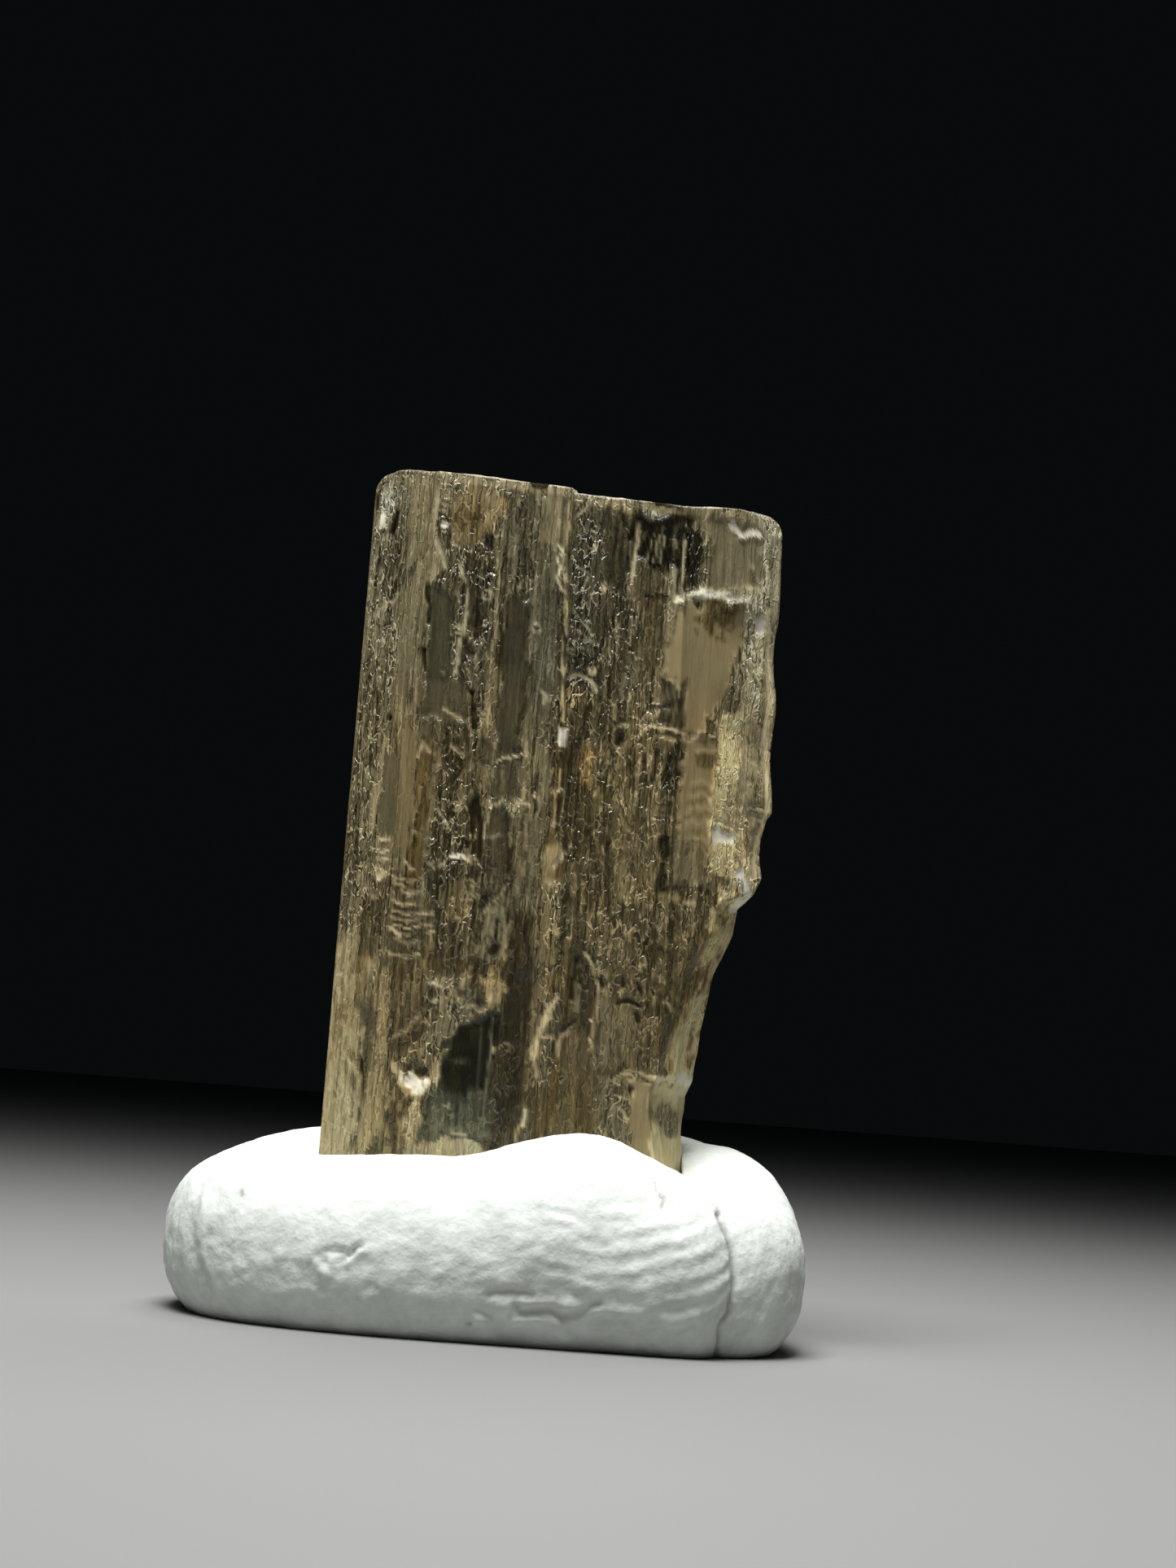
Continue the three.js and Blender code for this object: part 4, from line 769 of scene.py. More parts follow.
LOW_RIGHT_MARKS: Marks = (
    Patch("umber_smooth", block(0.05, 0.72, 4.3, 10.6), Look(0.15, 0.5, 0.6, 0.45, 0.5), 0.12, 0.15),
    Patch("umber_shade", (0, 7.2, 0.5, 7.2, 0.55, 8.9, 0.05, 8.4), Look(0.13, 0.5, 0.65, 0.85), 0.15),
    Trail("umber_loops", (0.08, 7.15, 0.25, 7.28, 0.4, 7.2, 0.35, 7.05), 0.06, Look(0.42, 0.2, 0.8, 0.7)),
    Trail("umber_line", (0.72, 9.5, 0.7, 7.6, 0.66, 5.8), 0.07, Look(0.1, 0.6, 0.7, 0.7, 0, 0, 0.03)),
    Patch("tan_strip", block(0.8, 1.1, 6.2, 11), Look(0.36, 0.38, 0.9, 0.4, 0.6), 0.1, 0.15),
    Patch("olive_etch", block(1.1, 1.6, 8.5, 10.1), Look(0.36, 0.5, 0.8, 0.1, 0.8), 0.08),
    Patch("vein_room", block(1.1, 1.6, 6.2, 8.4), Look(0.33, 0.2, 0.7, 0, 1), 0.08),
    Trail("vein", (1.45, 8.5, 1.3, 8.3, 1.22, 8.1, 1.15, 7.8, 1.05, 7.5, 0.98, 7.25, 0.98, 7.05), 0.13,
          Look(0.68, 0.5, 1, 0.6, 0.2, 0.1)),
    Trail("vein_branch", (1.05, 7.45, 1.3, 7.55, 1.5, 7.5), 0.06, CREAM),
    Trail("vein_branch_b", (1.2, 8.1, 1.3, 7.95), 0.06, CREAM),
    Trail("wedge", (0.95, 6.95, 1.05, 6.5), 0.1, PALE),
    Trail("fleck_a", (0.86, 5.65, 0.84, 5.25), 0.1, Look(0.7, 0.25, 1, 0.8, 0, 0.2)),
    Trail("fleck_b", (0.72, 5.2, 0.68, 4.85), 0.07, PALE),
    Patch("pale_knob", arc(1.35, 10.15, 0.07, 0.16), CREAM, 0.04),
    Patch("dark_groove", (1.95, 9.8, 2.25, 9.7, 2.35, 9, 2.3, 7.75, 2, 7.75, 1.9, 8.6),
          Look(0.17, 0.3, 0.6, 0.4, 0.5), 0.1, 0.1),
    Trail("groove_crack", (1.88, 9.6, 1.85, 9.3, 1.76, 8.85, 1.8, 8.5), 0.09, SLOT),
    Trail("groove_pale", (1.96, 8.9, 1.96, 8.2), 0.06, PALE),
    Trail("groove_diag", (2.05, 9.7, 2.28, 9.42, 2.34, 9.2), 0.08, PALE),
    Trail("fork_dark", (1.9, 8, 1.6, 7.68, 1.5, 7.3, 1.5, 7), 0.11, Look(0.1, 0.5, 0.8, 0.7, 0, 0, 0.04)),
    Trail("fork_pale", (1.78, 7.66, 1.62, 7.58, 1.56, 7.35, 1.6, 7.05), 0.1, PALE),
    Patch("red_groove", block(1.42, 1.6, 5.4, 7.2), Look(0.25, 0.85, 0.7, 0.6), 0.05),
    Patch("brown_plane", block(1.68, 2.35, 4.9, 7.7), Look(0.28, 0.5, 0.8, 0.6, 0.5), 0.12, 0.15),
    Trail("olive_line", (2.38, 8.6, 2.38, 7.2, 2.3, 5.2), 0.07, Look(0.26, 0.8, 0.8, 0.7)),
    Trail("olive_pale", (2.48, 9.4, 2.46, 8.2, 2.42, 7.6), 0.06, PALE),
    Patch("dot_d", arc(2.35, 8.05, 0.04, 0.05), WHITE_AND_GLINT, 0.03),
    Trail("squiggle", (2.32, 7.55, 2.42, 7.4, 2.4, 7.2), 0.06, CREAM),
    Flecks("herringbone", (2.45, 2.85, 6.9, 7.45), 9, 0.25, 0.045, PALE, 50, 10),
    Patch("grey_tan_plane", (2.5, 8.8, 3, 8.5, 3.5, 8.45, 3.45, 6.9, 2.5, 6.9),
          Look(0.34, 0.3, 0.85, 0.5, 0.5), 0.15, 0.15),
    Trail("plane_edge", (3, 8.5, 3.25, 8.56, 3.55, 8.46), 0.07, SLOT),
    *(Trail(f"spur_{k}", (x, z, x + 0.06, z - 0.22), 0.09, SLOT)
      for k, (x, z) in enumerate(((2.52, 9.1), (3.08, 9.08), (3.5, 8.95), (3.98, 8.5), (3.48, 8.3)))),
    Patch("rough_hollow", (3.95, 8.9, 4.2, 8.8, 4.3, 8.3, 4.05, 8.1),
          Look(0.2, 0.3, 0.6, 0.2, 1, 0, 0.04), 0.06),
    Patch("blot", arc(4.02, 9.9, 0.1, 0.12), SLOT, 0.05),
    Trail("white_stroke", (4.2, 8.6, 4.4, 8.42, 4.65, 8.3), 0.08, PALE),
    Patch("cloud", (4.2, 8.2, 4.6, 8.1, 4.5, 7.5, 4.2, 7.3), Look(0.36, 0.1, 0.6, 0.6, 0.6), 0.12),
    Flecks("low_etch_dark", (2.5, 5, 8.5, 10.8), 35, 0.32, 0.07, Look(0.18, 0.35, 0.7, 0.7), 8, 30),
    Flecks("low_etch_pale", (2.5, 5, 8.5, 10.8), 30, 0.3, 0.06, Look(0.6, 0.33, 0.95, 0.7), 8, 35),
    Patch("rough_low", (2.6, 6.6, 3.6, 6.7, 3.6, 4.8, 2.7, 4.8), Look(0.38, 0.22, 0.75, 0.2, 0.9), 0.1),
    Patch("rough_hole_a", arc(3.12, 6.4, 0.13, 0.1), DUSK, 0.05),
    Patch("rough_hole_b", arc(3.42, 6.42, 0.09, 0.12), SLOT, 0.05),
    Patch("rough_white", arc(3.5, 6.25, 0.06, 0.2), PALE, 0.04),
    Trail("rough_ridge", (3.05, 6.55, 3.2, 6.72, 3.45, 6.78), 0.07, PALE),
    Trail("rough_curve", (3.2, 5.85, 3.35, 5.8, 3.45, 5.55), 0.07, PALE),
    Patch("ledge_block", (3.5, 6.6, 8, 6.55, 8, 4, 3.6, 4), Look(0.47, 0.4, 0.95, 0.93, 0.3), 0.07, 0.06),
    # The ledge's part on the right bevel is lightened, as that bevel faces away from the lamp: painted
    # light over its own pale tan.
    Patch("ledge_side", (4, 6.6, 8, 6.55, 8, 4, 4.12, 4), Look(0.7, 0.4, 0.97, 0.9, 0.3), 0.05),
    Trail("ledge_lip", (3.4, 6.66, 3.6, 6.74, 3.9, 6.72, 4.05, 6.68), 0.1,
          Look(0.54, 0.35, 0.95, 0.8, 0, 0.04), 0.05, 0.1),
    Trail("ledge_crack", (4.05, 6.68, 4.3, 6.68, 4.6, 6.78, 5.05, 6.68), 0.12,
          Look(0.78, 0.4, 1, 0.8, 0, 0.3, -0.02), 0.05, 0.08),
    Patch("ledge_white", (4.6, 6.6, 5.1, 6.5, 5.1, 6.78, 4.65, 6.82), Look(0.95, 0.5, 1, 0.9, 0, 0.6),
          0.05, 0.08),
    Patch("ledge_stain", (4, 5.75, 4.3, 6.1, 4.68, 6.05, 4.78, 5.6, 4.66, 5.2, 4.4, 5.3, 4.2, 5.55),
          Look(0.4, 0.2, 0.9, 0.4, 0.9), 0.1, 0.14),
    Patch("orange_tip", (4.3, 4.95, 6, 5.1, 6, 4, 4.4, 4), Look(0.68, 0.6, 0.95, 0.85), 0.12),
    Patch("gold_edge", (4.5, 8.1, 5.3, 8.1, 5.25, 6.9, 4.25, 6.95), Look(0.76, 0.65, 1, 0.45, 0.7), 0.1,
          0.08),
    Trail("rim_low", (5.55, 10.6, 5.38, 9.9, 5.22, 9.2, 5.04, 8.45, 4.95, 7.7, 4.9, 6.95), 0.08,
          Look(0.68, 0.45, 1, 0.7, 0.2), 0.04, 0.04),
    Flecks("edge_grain", (4.4, 5.6, 6.9, 10.6), 40, 0.4, 0.08, Look(0.3, 0.8, 1, 0.4), 12, 20),
    Trail("edge_tick", (4.93, 7.88, 5.03, 7.76), 0.07, SHEEN),
    Flecks("edge_scales", (5.25, 5.8, 9.6, 11), 18, 0.2, 0.1, CREAM, 30, 40),
)

BACK_MARKS: Marks = (
    Patch("back_left_bevel", block(-4.6, -3, 1, 22), Look(0.44, 0.4, 0.75, 0.1, 0.9), 0.3, 0.3,
          Face.BACK),
    Patch("back_tan_band", block(-2.3, -1.3, 8.5, 20.2), Look(0.5, 0.5, 0.85, 0.1, 0.5), 0.25, 0.25,
          Face.BACK),
    Patch("back_grey_band", block(-0.7, 0.35, 10.5, 22), Look(0.31, 0.15, 0.45, 0.3, 0.4), 0.2, 0.2,
          Face.BACK),
    Patch("back_etched_band", block(1.15, 2.6, 7.2, 18), Look(0.44, 0.3, 0.7, 0, 1.2), 0.25, 0.25,
          Face.BACK),
    Patch("back_dark_band", block(3, 4.2, 3, 10.8), Look(0.26, 0.4, 0.5, 0.1, 0.7), 0.25, 0.25,
          Face.BACK),
    Patch("back_right_bevel", block(4.4, 6.9, 11, 22), Look(0.48, 0.35, 0.85, 0.1, 0.9), 0.2, 0.2,
          Face.BACK),
    Patch("back_foot", block(-4.6, 6, 1, 6.2), Look(0.52, 0.5, 0.9, 0.2, 0.6), 0.5, 0.4, Face.BACK),
    Patch("back_clear", (-2.3, 3.6, 0.3, 3.3, 0.6, 6.4, 0.2, 8.1, -0.6, 9, -1.9, 8.5, -2.5, 6.6), CLEAR,
          0.3, 0.4, Face.BACK),
    Patch("back_milk", (2.9, 12, 3.6, 12.3, 4.1, 13.9, 3.9, 15.8, 3.3, 16.6, 2.9, 15.2, 2.7, 13.4), CREAM,
          0.15, 0.25, Face.BACK),
    Patch("back_milk_b", (-3.4, 14.6, -2.6, 14.9, -2.4, 16.4, -2.9, 17.8, -3.5, 17.2), CREAM, 0.15, 0.25,
          Face.BACK),
    Patch("back_glass", (0.4, 15.6, 1.1, 15.2, 1.3, 17.6, 0.9, 19.4, 0.4, 18.8),
          Look(0.15, 0, 0.3, 0.85, 0.1), 0.1, 0.15, Face.BACK),
    Flecks("back_needles", (-4, 5.9, 5.6, 20.6), 120, 2.4, 0.14, Look(0.66, 0.45, 0.95, 0.4), 0, 3, 0.1,
           face=Face.BACK, strength=0.8),
    Flecks("back_grooves", (-4, 5.9, 5.6, 20.6), 110, 2, 0.14, Look(0.16, 0.4, 0.6, 0.4, depth=0.04), 0,
           3, 0.1, face=Face.BACK, strength=0.9),
    Flecks("back_steps", (-3.9, 5.8, 6, 20.4), 60, 0.6, 0.07, Look(0.2, 0.4, 0.8, depth=0.02), 88, 12,
           face=Face.BACK),
    Flecks("back_sparks", (-3.9, 5.8, 6, 20.4), 50, 0.35, 0.12, PALE, 0, 70, face=Face.BACK),
    Trail("back_suture", (0.72, 1, 0.8, 7, 0.7, 12.4, 0.78, 18, 0.7, 22), 0.07,
          Look(0.12, 0.5, 0.9, depth=0.04), 0.06, 0.1, Face.BACK),
    Trail("back_crack", (-4.2, 12.1, -3.3, 12.3, -2.5, 12.1, -1.6, 12.5, -0.4, 12.4, 0.7, 12.8), 0.06,
          Look(0.8, 0.35, 1, 0.8, depth=0.02), 0.04, 0.12, Face.BACK),
    Trail("back_crack_shadow", (-4.2, 11.98, -3.3, 12.18, -2.5, 11.98, -1.6, 12.38, -0.4, 12.28,
          0.7, 12.68), 0.05, Look(0.12, 0.5, 0.9, 0.5), 0.04, 0.12, Face.BACK),
    Trail("back_crack_b", (2.4, 10.5, 3.3, 10.8, 4.1, 10.6, 5.2, 11.1), 0.05, Look(0.75, 0.4, 1, 0.8),
          0.04, 0.1, Face.BACK),
    Trail("back_crack_c", (1, 19.2, 1.9, 19, 2.6, 19.3), 0.05, Look(0.7, 0.4, 1, 0.8), 0.04, 0.1,
          Face.BACK),
    Patch("back_chip", (-3.9, 20.1, -2.9, 20, -2.5, 20.5, -2.6, 21.5, -4, 21.5),
          Look(0.6, 0.4, 1, 0.3, 0.6), 0.08, 0.2, Face.BACK),
    Patch("back_chip_b", (4.4, 8.6, 5, 8.9, 5.3, 10, 5.8, 10.9, 6.6, 11.2, 6.6, 8),
          Look(0.58, 0.45, 1, 0.2, 0.8), 0.1, 0.2, Face.BACK),
)

CRYSTAL_MARKS = BACK_MARKS + BROAD_MARKS + TOP_LEFT_MARKS + TOP_RIGHT_MARKS
CRYSTAL_MARKS += MIDDLE_LEFT_MARKS + MIDDLE_RIGHT_MARKS + LOW_LEFT_MARKS + LOW_RIGHT_MARKS

PUTTY_MARKS: Marks = (
    # Tone is how dark a mark is painted: a grey stain on the specks, and painted shade in the creases,
    #     pits, scratches, seam and wrinkles that are pressed in. Depth is how far it is pressed in.
    Trail("end_crease", (-6.83, 3.69, -7.14, 3.2, -7.27, 2.61, -7.28, 2.09, -7.2, 1.57, -6.96, 0.94,
          -6.69, 0.55), 0.1, Look(0.12, depth=0.041), 0.18),
    Trail("end_fold", (-6.7, 3.5, -6.98, 3, -7.08, 2.4, -7.05, 1.8, -6.9, 1.3, -6.7, 0.9), 0.1,
          Look(0, depth=-0.023), 0.16),
    Trail("end_crease_b", (-6.58, 2.3, -6.58, 1.83, -6.37, 1.44, -6.04, 1), 0.08, Look(0.05, depth=0.018),
          0.16),
    *(Patch(f"speck_{k}", arc(x, z, wide, high), Look(stain_and_shade, depth=depth), soft, 0.02)
      for k, (x, z, wide, high, stain_and_shade, depth,
      soft) in enumerate(((-6.1, 3.02, 0.05, 0.1, 0.75, 0.027, 0.05),
      (-6.18, 1.86, 0.035, 0.04, 0.5, 0.013, 0.04), (-5.85, 2.7, 0.05, 0.06, 0.15, 0.013, 0.05),
      (-4.28, 1.43, 0.06, 0.06, 0.6, 0.036, 0.05), (-2, 1.26, 0.05, 0.05, 0.4, 0.027, 0.05),
      (-2.55, 0.93, 0.05, 0.04, 0.4, 0.023, 0.05), (-4.75, 2.15, 0.05, 0.05, 0.3, 0.023, 0.05),
      (0.62, 2.7, 0.05, 0.05, 0.25, 0.013, 0.05)))),
    Patch("speck_i", arc(-0.15, 0.25, 0.08, 0.06), Look(0.6, depth=0.027), 0.06, 0.03),
    Trail("scratch_arc", (-4.05, 1.66, -3.75, 1.78, -3.5, 1.8), 0.12, Look(0.2, depth=0.054), 0.1),
    Patch("scratch_pit", arc(-3.9, 1.52, 0.1, 0.08), Look(0.45, depth=0.054), 0.07),
    Patch("scratch_bump", arc(-3.87, 1.2, 0.13, 0.13), Look(0, depth=-0.054), 0.1),
    Trail("scratch_slit", (-3.47, 1.55, -3.2, 1.8, -3, 1.98), 0.07, Look(0.3, depth=0.054), 0.06),
    Trail("scratch_lip", (-3.35, 1.48, -3.05, 1.76, -2.85, 1.9), 0.1, Look(0, depth=-0.027), 0.1),
    Trail("cut", (4.19, 4.19, 4.31, 3.9, 4.51, 3.63, 4.49, 3.44), 0.05, Look(0.6, depth=0.063), 0.06,
          0.02),
    Trail("cut_lip", (4.32, 4.2, 4.45, 3.92, 4.64, 3.62), 0.1, Look(0, depth=-0.027), 0.12),
    Trail("fold", (4.7, 4.3, 5.1, 4, 5.45, 3.72, 5.78, 3.48), 0.16, Look(0, depth=-0.036), 0.2),
    Trail("seam", (5.85, 3.42, 6.02, 3.15, 6.2, 2.76, 6.33, 2.37, 6.41, 1.91, 6.4, 1.51, 6.35, 1.05,
          6.17, 0.75, 6.09, 0.3, 6.05, -0.2), 0.04, Look(0.55, depth=0.09), 0.09, 0.03),
    Patch("bulge_a", arc(0.62, 0.72, 0.26, 0.2), Look(0, depth=-0.063), 0.15),
    Patch("bulge_b", arc(0.12, 0.35, 0.2, 0.14), Look(0, depth=-0.045), 0.12),
    Trail("wrinkle", (1, 0.72, 1.16, 0.6, 1.8, 0.67, 2.2, 0.59, 2.72, 0.76, 3.04, 1.02), 0.1,
          Look(0.3, depth=0.072), 0.12),
    Trail("wrinkle_b", (0.3, 1, 0.75, 1.12, 1.35, 1.02), 0.12, Look(0.3, depth=0.054), 0.14),
    Trail("wrinkle_c", (0, 0.62, 0.2, 0.5, 0.4, 0.42), 0.08, Look(0.2, depth=0.036), 0.1),
    Trail("wrinkle_ridge", (0.95, 0.33, 1.4, 0.42, 1.95, 0.4, 2.3, 0.15), 0.18, Look(0, depth=-0.063),
          0.16),
    Trail("wrinkle_ridge_b", (1.2, 0.88, 1.8, 0.92, 2.4, 0.85), 0.14, Look(0, depth=-0.045), 0.16),
    Trail("lip_notch", (-0.08, 4.5, -0.08, 4.3), 0.05, Look(0.2, depth=0.054), 0.12, 0),
    Trail("stroke", (0.15, 4.1, 0.22, 3.95), 0.05, Look(0.1, depth=0.018), 0.06),
    Flecks("pin_holes", (-6, 3.5, 0.5, 3), 26, 0.09, 0.05, Look(0.25, depth=0.018), 0, 90, 0.04),
    Flecks("hand_strokes", (-4, 2, 0.6, 2.2), 22, 0.5, 0.09, Look(0.03, depth=0.023), 50, 25, 0.12),
)


# ---------------------------------------------------------------------------------- the crystal


@dataclass
class Columns:
    """The upright lines of the crystal's net, one entry each, round the section.

    At is a line's place on the section and out its way out. It lies between ledge a and ledge b,
    or on the bare land beside a corner where the number is -1, by its share of the way.
    """

    at: np.ndarray
    out: np.ndarray
    ledge_a: np.ndarray
    ledge_b: np.ndarray
    share: np.ndarray


@dataclass
class Skin:
    """The crystal's net of points with its qualities, as (rows, columns) arrays."""

    PLAIN: ClassVar[dict[str, float]] = {
        "tone": 0.4,
        "warm": 0.35,
        "haze": 0.45,
        "frost_and_glint": 0.0,
        "rough": 0.4,
        "depth": 0.0,
        "calm": 0.0,
        "curl": 0.7,
        "life": 1.0,
    }

    place: np.ndarray
    front: np.ndarray
    topness: np.ndarray
    tone: np.ndarray = field(init=False)
    warm: np.ndarray = field(init=False)
    haze: np.ndarray = field(init=False)
    frost_and_glint: np.ndarray = field(init=False)
    rough: np.ndarray = field(init=False)
    depth: np.ndarray = field(init=False)
    calm: np.ndarray = field(init=False)
    curl: np.ndarray = field(init=False)
    life: np.ndarray = field(init=False)

    def __post_init__(self) -> None:
        """Starts every quality at its plain value."""
        for name, value in self.PLAIN.items():
            setattr(self, name, np.full(self.place.shape[:-1], value))

    def blend(self, share: np.ndarray, **wanted: float) -> None:
        """Blends qualities towards wanted values by a share at each point."""
        for name, value in wanted.items():
            setattr(self, name, mix(getattr(self, name), value, share))

    def lay(self, marks: Marks) -> None:
        """Blends marks into each quality by their masks, each on its own half of the crystal.

        A mask is read at places moved by the mark's raggedness times a lengthwise noise.
        """
        p = self.place
        wander = Grain((0.22, 0.22, 0.5), 5, 3).swing(p) * 3
        lift = Grain((0.22, 0.22, 0.4), 6, 3).swing(p) * 3
        x, z = cast(p)
        seen = self.front > 0.001
        for mark in marks:
            here = seen if mark.face is Face.FRONT else ~seen
            half = self.front[here] if mark.face is Face.FRONT else 1 - self.front[here]
            m = mark.mask(x[here] + wander[here] * mark.ragged, z[here] + lift[here] * mark.ragged)
            m *= half * (1 - self.topness[here])
            for name in ("tone", "warm", "haze", "calm", "curl", "frost_and_glint", "rough"):
                value = getattr(mark.look, name)
                if value is not None:
                    quality = getattr(self, name)
                    quality[here] = mix(quality[here], value, m)
            self.depth[here] += mark.look.depth * m


@dataclass
class Crystal:
    """The scapolite prism: eight ledged faces, a stepped basal top and a break on the right."""

    left: float = -4.5
    right: float = 6.72
    front: float = -2.6
    back: float = 2.5
    foot: float = 1.3
    top: float = 21.95
    front_left_bevel: tuple[float, float] = (1.85, 1.8)
    front_right_bevel: tuple[float, float] = (2.65, 1.9)
    back_left_bevel: tuple[float, float] = (1.6, 1.6)
    back_right_bevel: tuple[float, float] = (2.0, 1.8)
    taper: float = 0.0025
    taper_height: float = 14.0
    top_fall: float = 0.045
    top_rise: float = 0.12
    top_right_rise: float = 0.25
    suture_x: float = 0.95
    suture_step: float = 0.12
    break_slant: float = 0.5
    break_top: tuple[float, float] = (11, 12.2)
    ledge_width: float = 0.5
    ledge_depth: float = 0.17
    ledge_riser: float = 0.025
    ledge_starts: tuple[float, float] = (-4, 22)
    ledge_lengths: tuple[float, float] = (5, 19)
    even_depth: float = 0.09
    corner_land: float = 0.12
    corner_depth: float = 0.03
    corner_turn: float = 0.15
    pit_at: tuple[float, float] = (-1.85, 6.25)
    pit_size: float = 0.5
    pit_depth: float = 0.1
    suture_width: float = 0.2
    suture_depth: float = 0.1
    right_sunk: float = 0.07
    step_depth: float = 0.05
    step_heights: tuple[float, float] = (12.2, 18.5)
    step_side: tuple[float, float] = (4.9, 5.8)
    right_edge: tuple[tuple[float, float], ...] = (
        (1.3, 4.95),
        (5.6, 4.98),
        (6.3, 4.99),
        (6.7, 5.16),
        (8.0, 5.24),
        (9.5, 5.52),
        (10.6, 5.94),
        (11.3, 6.02),
        (11.7, 6.42),
        (12.1, 6.56),
        (12.6, 6.46),
        (13.1, 6.46),
        (13.7, 6.6),
        (14.1, 7.0),
    )
    heart: tuple[float, float] = (1.0, 0.0)
    column_steps: tuple[float, ...] = (0.068, 0.07, 0.12, 0.17, 0.18, 0.17, 0.12, 0.07)
    top_rings: int = 26
    round_rows: int = 9
    side_rows: int = 290
    foot_rings: int = 3
    side_spacing: float = 0.94
    ring_spacing: float = 0.85
    lip_sharpness: int = 8
    rounded_squeeze: float = 0.12
    halvings: int = 24

    def section(self) -> np.ndarray:
        """The section's eight corners, anticlockwise from above, from the front left one."""
        fl, fr, bl, br = (
            self.front_left_bevel,
            self.front_right_bevel,
            self.back_left_bevel,
            self.back_right_bevel,
        )
        return np.array(
            [
                (self.left + fl[0], self.front),
                (self.right - fr[0], self.front),
                (self.right, self.front + fr[1]),
                (self.right, self.back - br[1]),
                (self.right - br[0], self.back),
                (self.left + bl[0], self.back),
                (self.left, self.back - bl[1]),
                (self.left, self.front + fl[1]),
            ]
        )

    def columns(self) -> Columns:
        """The net's upright lines.

        Each face carries ledges of uneven width, and a line between two ledges blends the two by
        its place on the riser. Each line looks out along its face's normal, turned half way to
        the next face's at a corner.

        Returns:
            The lines, in order round the section.
        """
        corners = self.section()
        runs = np.roll(corners, -1, axis=0) - corners
        lengths = np.hypot(*runs.T)
        runs = runs / lengths[:, None]
        outs = np.stack([runs[:, 1], -runs[:, 0]], axis=1)
        parts: list[tuple[np.ndarray, ...]] = []
        for f, (corner, run, length, step) in enumerate(zip(corners, runs, lengths, self.column_steps)):
            count = max(1, round((length - 2 * self.corner_land) / self.ledge_width))
            widths = 0.6 + scatter(f * 31 + np.arange(count))
            ends = self.corner_land + np.cumsum(widths) / widths.sum() * (length - 2 * self.corner_land)
            starts = np.concatenate([[self.corner_land], ends[:-1]])
            stops = np.stack([starts + self.ledge_riser, ends - self.ledge_riser], axis=1).ravel()
            stops = np.concatenate([[0], stops, [length]])
            ids = np.concatenate([[-1], np.repeat(f * 31 + np.arange(count), 2), [-1]])
            s = np.arange(round(length / step)) / round(length / step) * length
            i = np.clip(np.searchsorted(stops, s, side="right") - 1, 0, len(stops) - 2)
            turn = 0.5 * (1 - np.minimum(s, length - s) / self.corner_turn).clip(0, 1)
            beside = np.where((s < length / 2)[:, None], outs[f - 1], outs[(f + 1) % 8])
            out = outs[f] * (1 - turn)[:, None] + beside * turn[:, None]
            parts.append(
                (
                    corner + run * s[:, None],
                    out / np.hypot(*out.T)[:, None],
                    ids[i],
                    ids[i + 1],
                    (s - stops[i]) / (stops[i + 1] - stops[i]),
                )
            )
        return Columns(*(np.concatenate(p) for p in zip(*parts)))

    def ledge_sink(self, n: np.ndarray, z: np.ndarray) -> np.ndarray:
        """How deep ledge n lies below its face at height z: deeper over one stretch of its length.

        The ledge's own repeatable numbers say how deep it is, where that stretch starts, how long
        it is and how the ledge wanders.
        """
        deep = scatter(n * 3.7 + 1) * self.ledge_depth
        start = mix(*self.ledge_starts, scatter(n * 5.3 + 2))
        long = mix(*self.ledge_lengths, scatter(n * 7.9 + 3))
        wander = 0.02 * np.sin(z * (0.5 + scatter(n + 9)) + 6 * scatter(n + 4))
        sunk = deep * (0.35 + 0.65 * band(start, start + long, 0.8, z)) + 0.02 + wander
        return np.where(n < 0, self.corner_depth, sunk)

    def front_sink(self, x: np.ndarray, z: np.ndarray) -> np.ndarray:
        """How far the front face is sunk at (x, z): a pit, the suture, and all that is right of it."""
        pit_x, pit_z = self.pit_at
        away = np.hypot((x - pit_x) / self.pit_size, (z - pit_z) / self.pit_size)
        pit = self.pit_depth * np.maximum(0, 1 - away)
        seam = self.suture_depth * np.maximum(0, 1 - np.abs(x - self.suture_x) / self.suture_width)
        return pit + seam + np.where(x > self.suture_x, self.right_sunk, 0.0)

    def right_sink(self, x: np.ndarray, z: np.ndarray) -> np.ndarray:
        """How far the right edge is sunk at (x, z): shallow steps, one above another."""
        steps = self.step_depth * (1 + np.sin(2.4 * z + 1.3 * x))
        return steps * band(*self.step_heights, 0.8, z) * ramp(*self.step_side, x)

    def break_edge(self, y: np.ndarray, z: np.ndarray) -> np.ndarray:
        """The furthest x at (y, z): below the notch the right side is broken off aslant."""
        edge = along(list(self.right_edge), z)
        broken = 1 - ramp(*self.break_top, z)
        slant = self.break_slant * np.maximum(0, -0.5 - y) * ramp(2.5, 6, z)
        waves = 0.09 * np.sin(2.1 * y + 0.9 * z) + 0.04 * np.sin(5 * y - 2 * z)
        return edge - broken * (slant + np.abs(waves))

    def top_height(self, x: np.ndarray, y: np.ndarray) -> np.ndarray:
        """The height of the top at (x, y): it falls to the right, rises to the back, and steps."""
        fall = self.top_fall * (x - self.left - 1.5) - self.top_right_rise * ramp(4, 6, x)
        step = np.where(x > self.suture_x, self.suture_step, 0.0)
        uneven = 0.03 * np.sin(2.3 * x + 0.7) * np.cos(1.9 * y)
        return self.top - fall - step + self.top_rise * (y - self.front) + uneven

    def corner_round(self, x: np.ndarray) -> np.ndarray:
        """How far the top's edge is rounded off, by how near x is to either side."""
        near_left = 0.5 * (1 - ramp(self.left, self.left + 0.7, x))
        near_right = 0.5 * ramp(self.right - 1.2, self.right - 0.2, x)
        return 0.1 + near_left + near_right

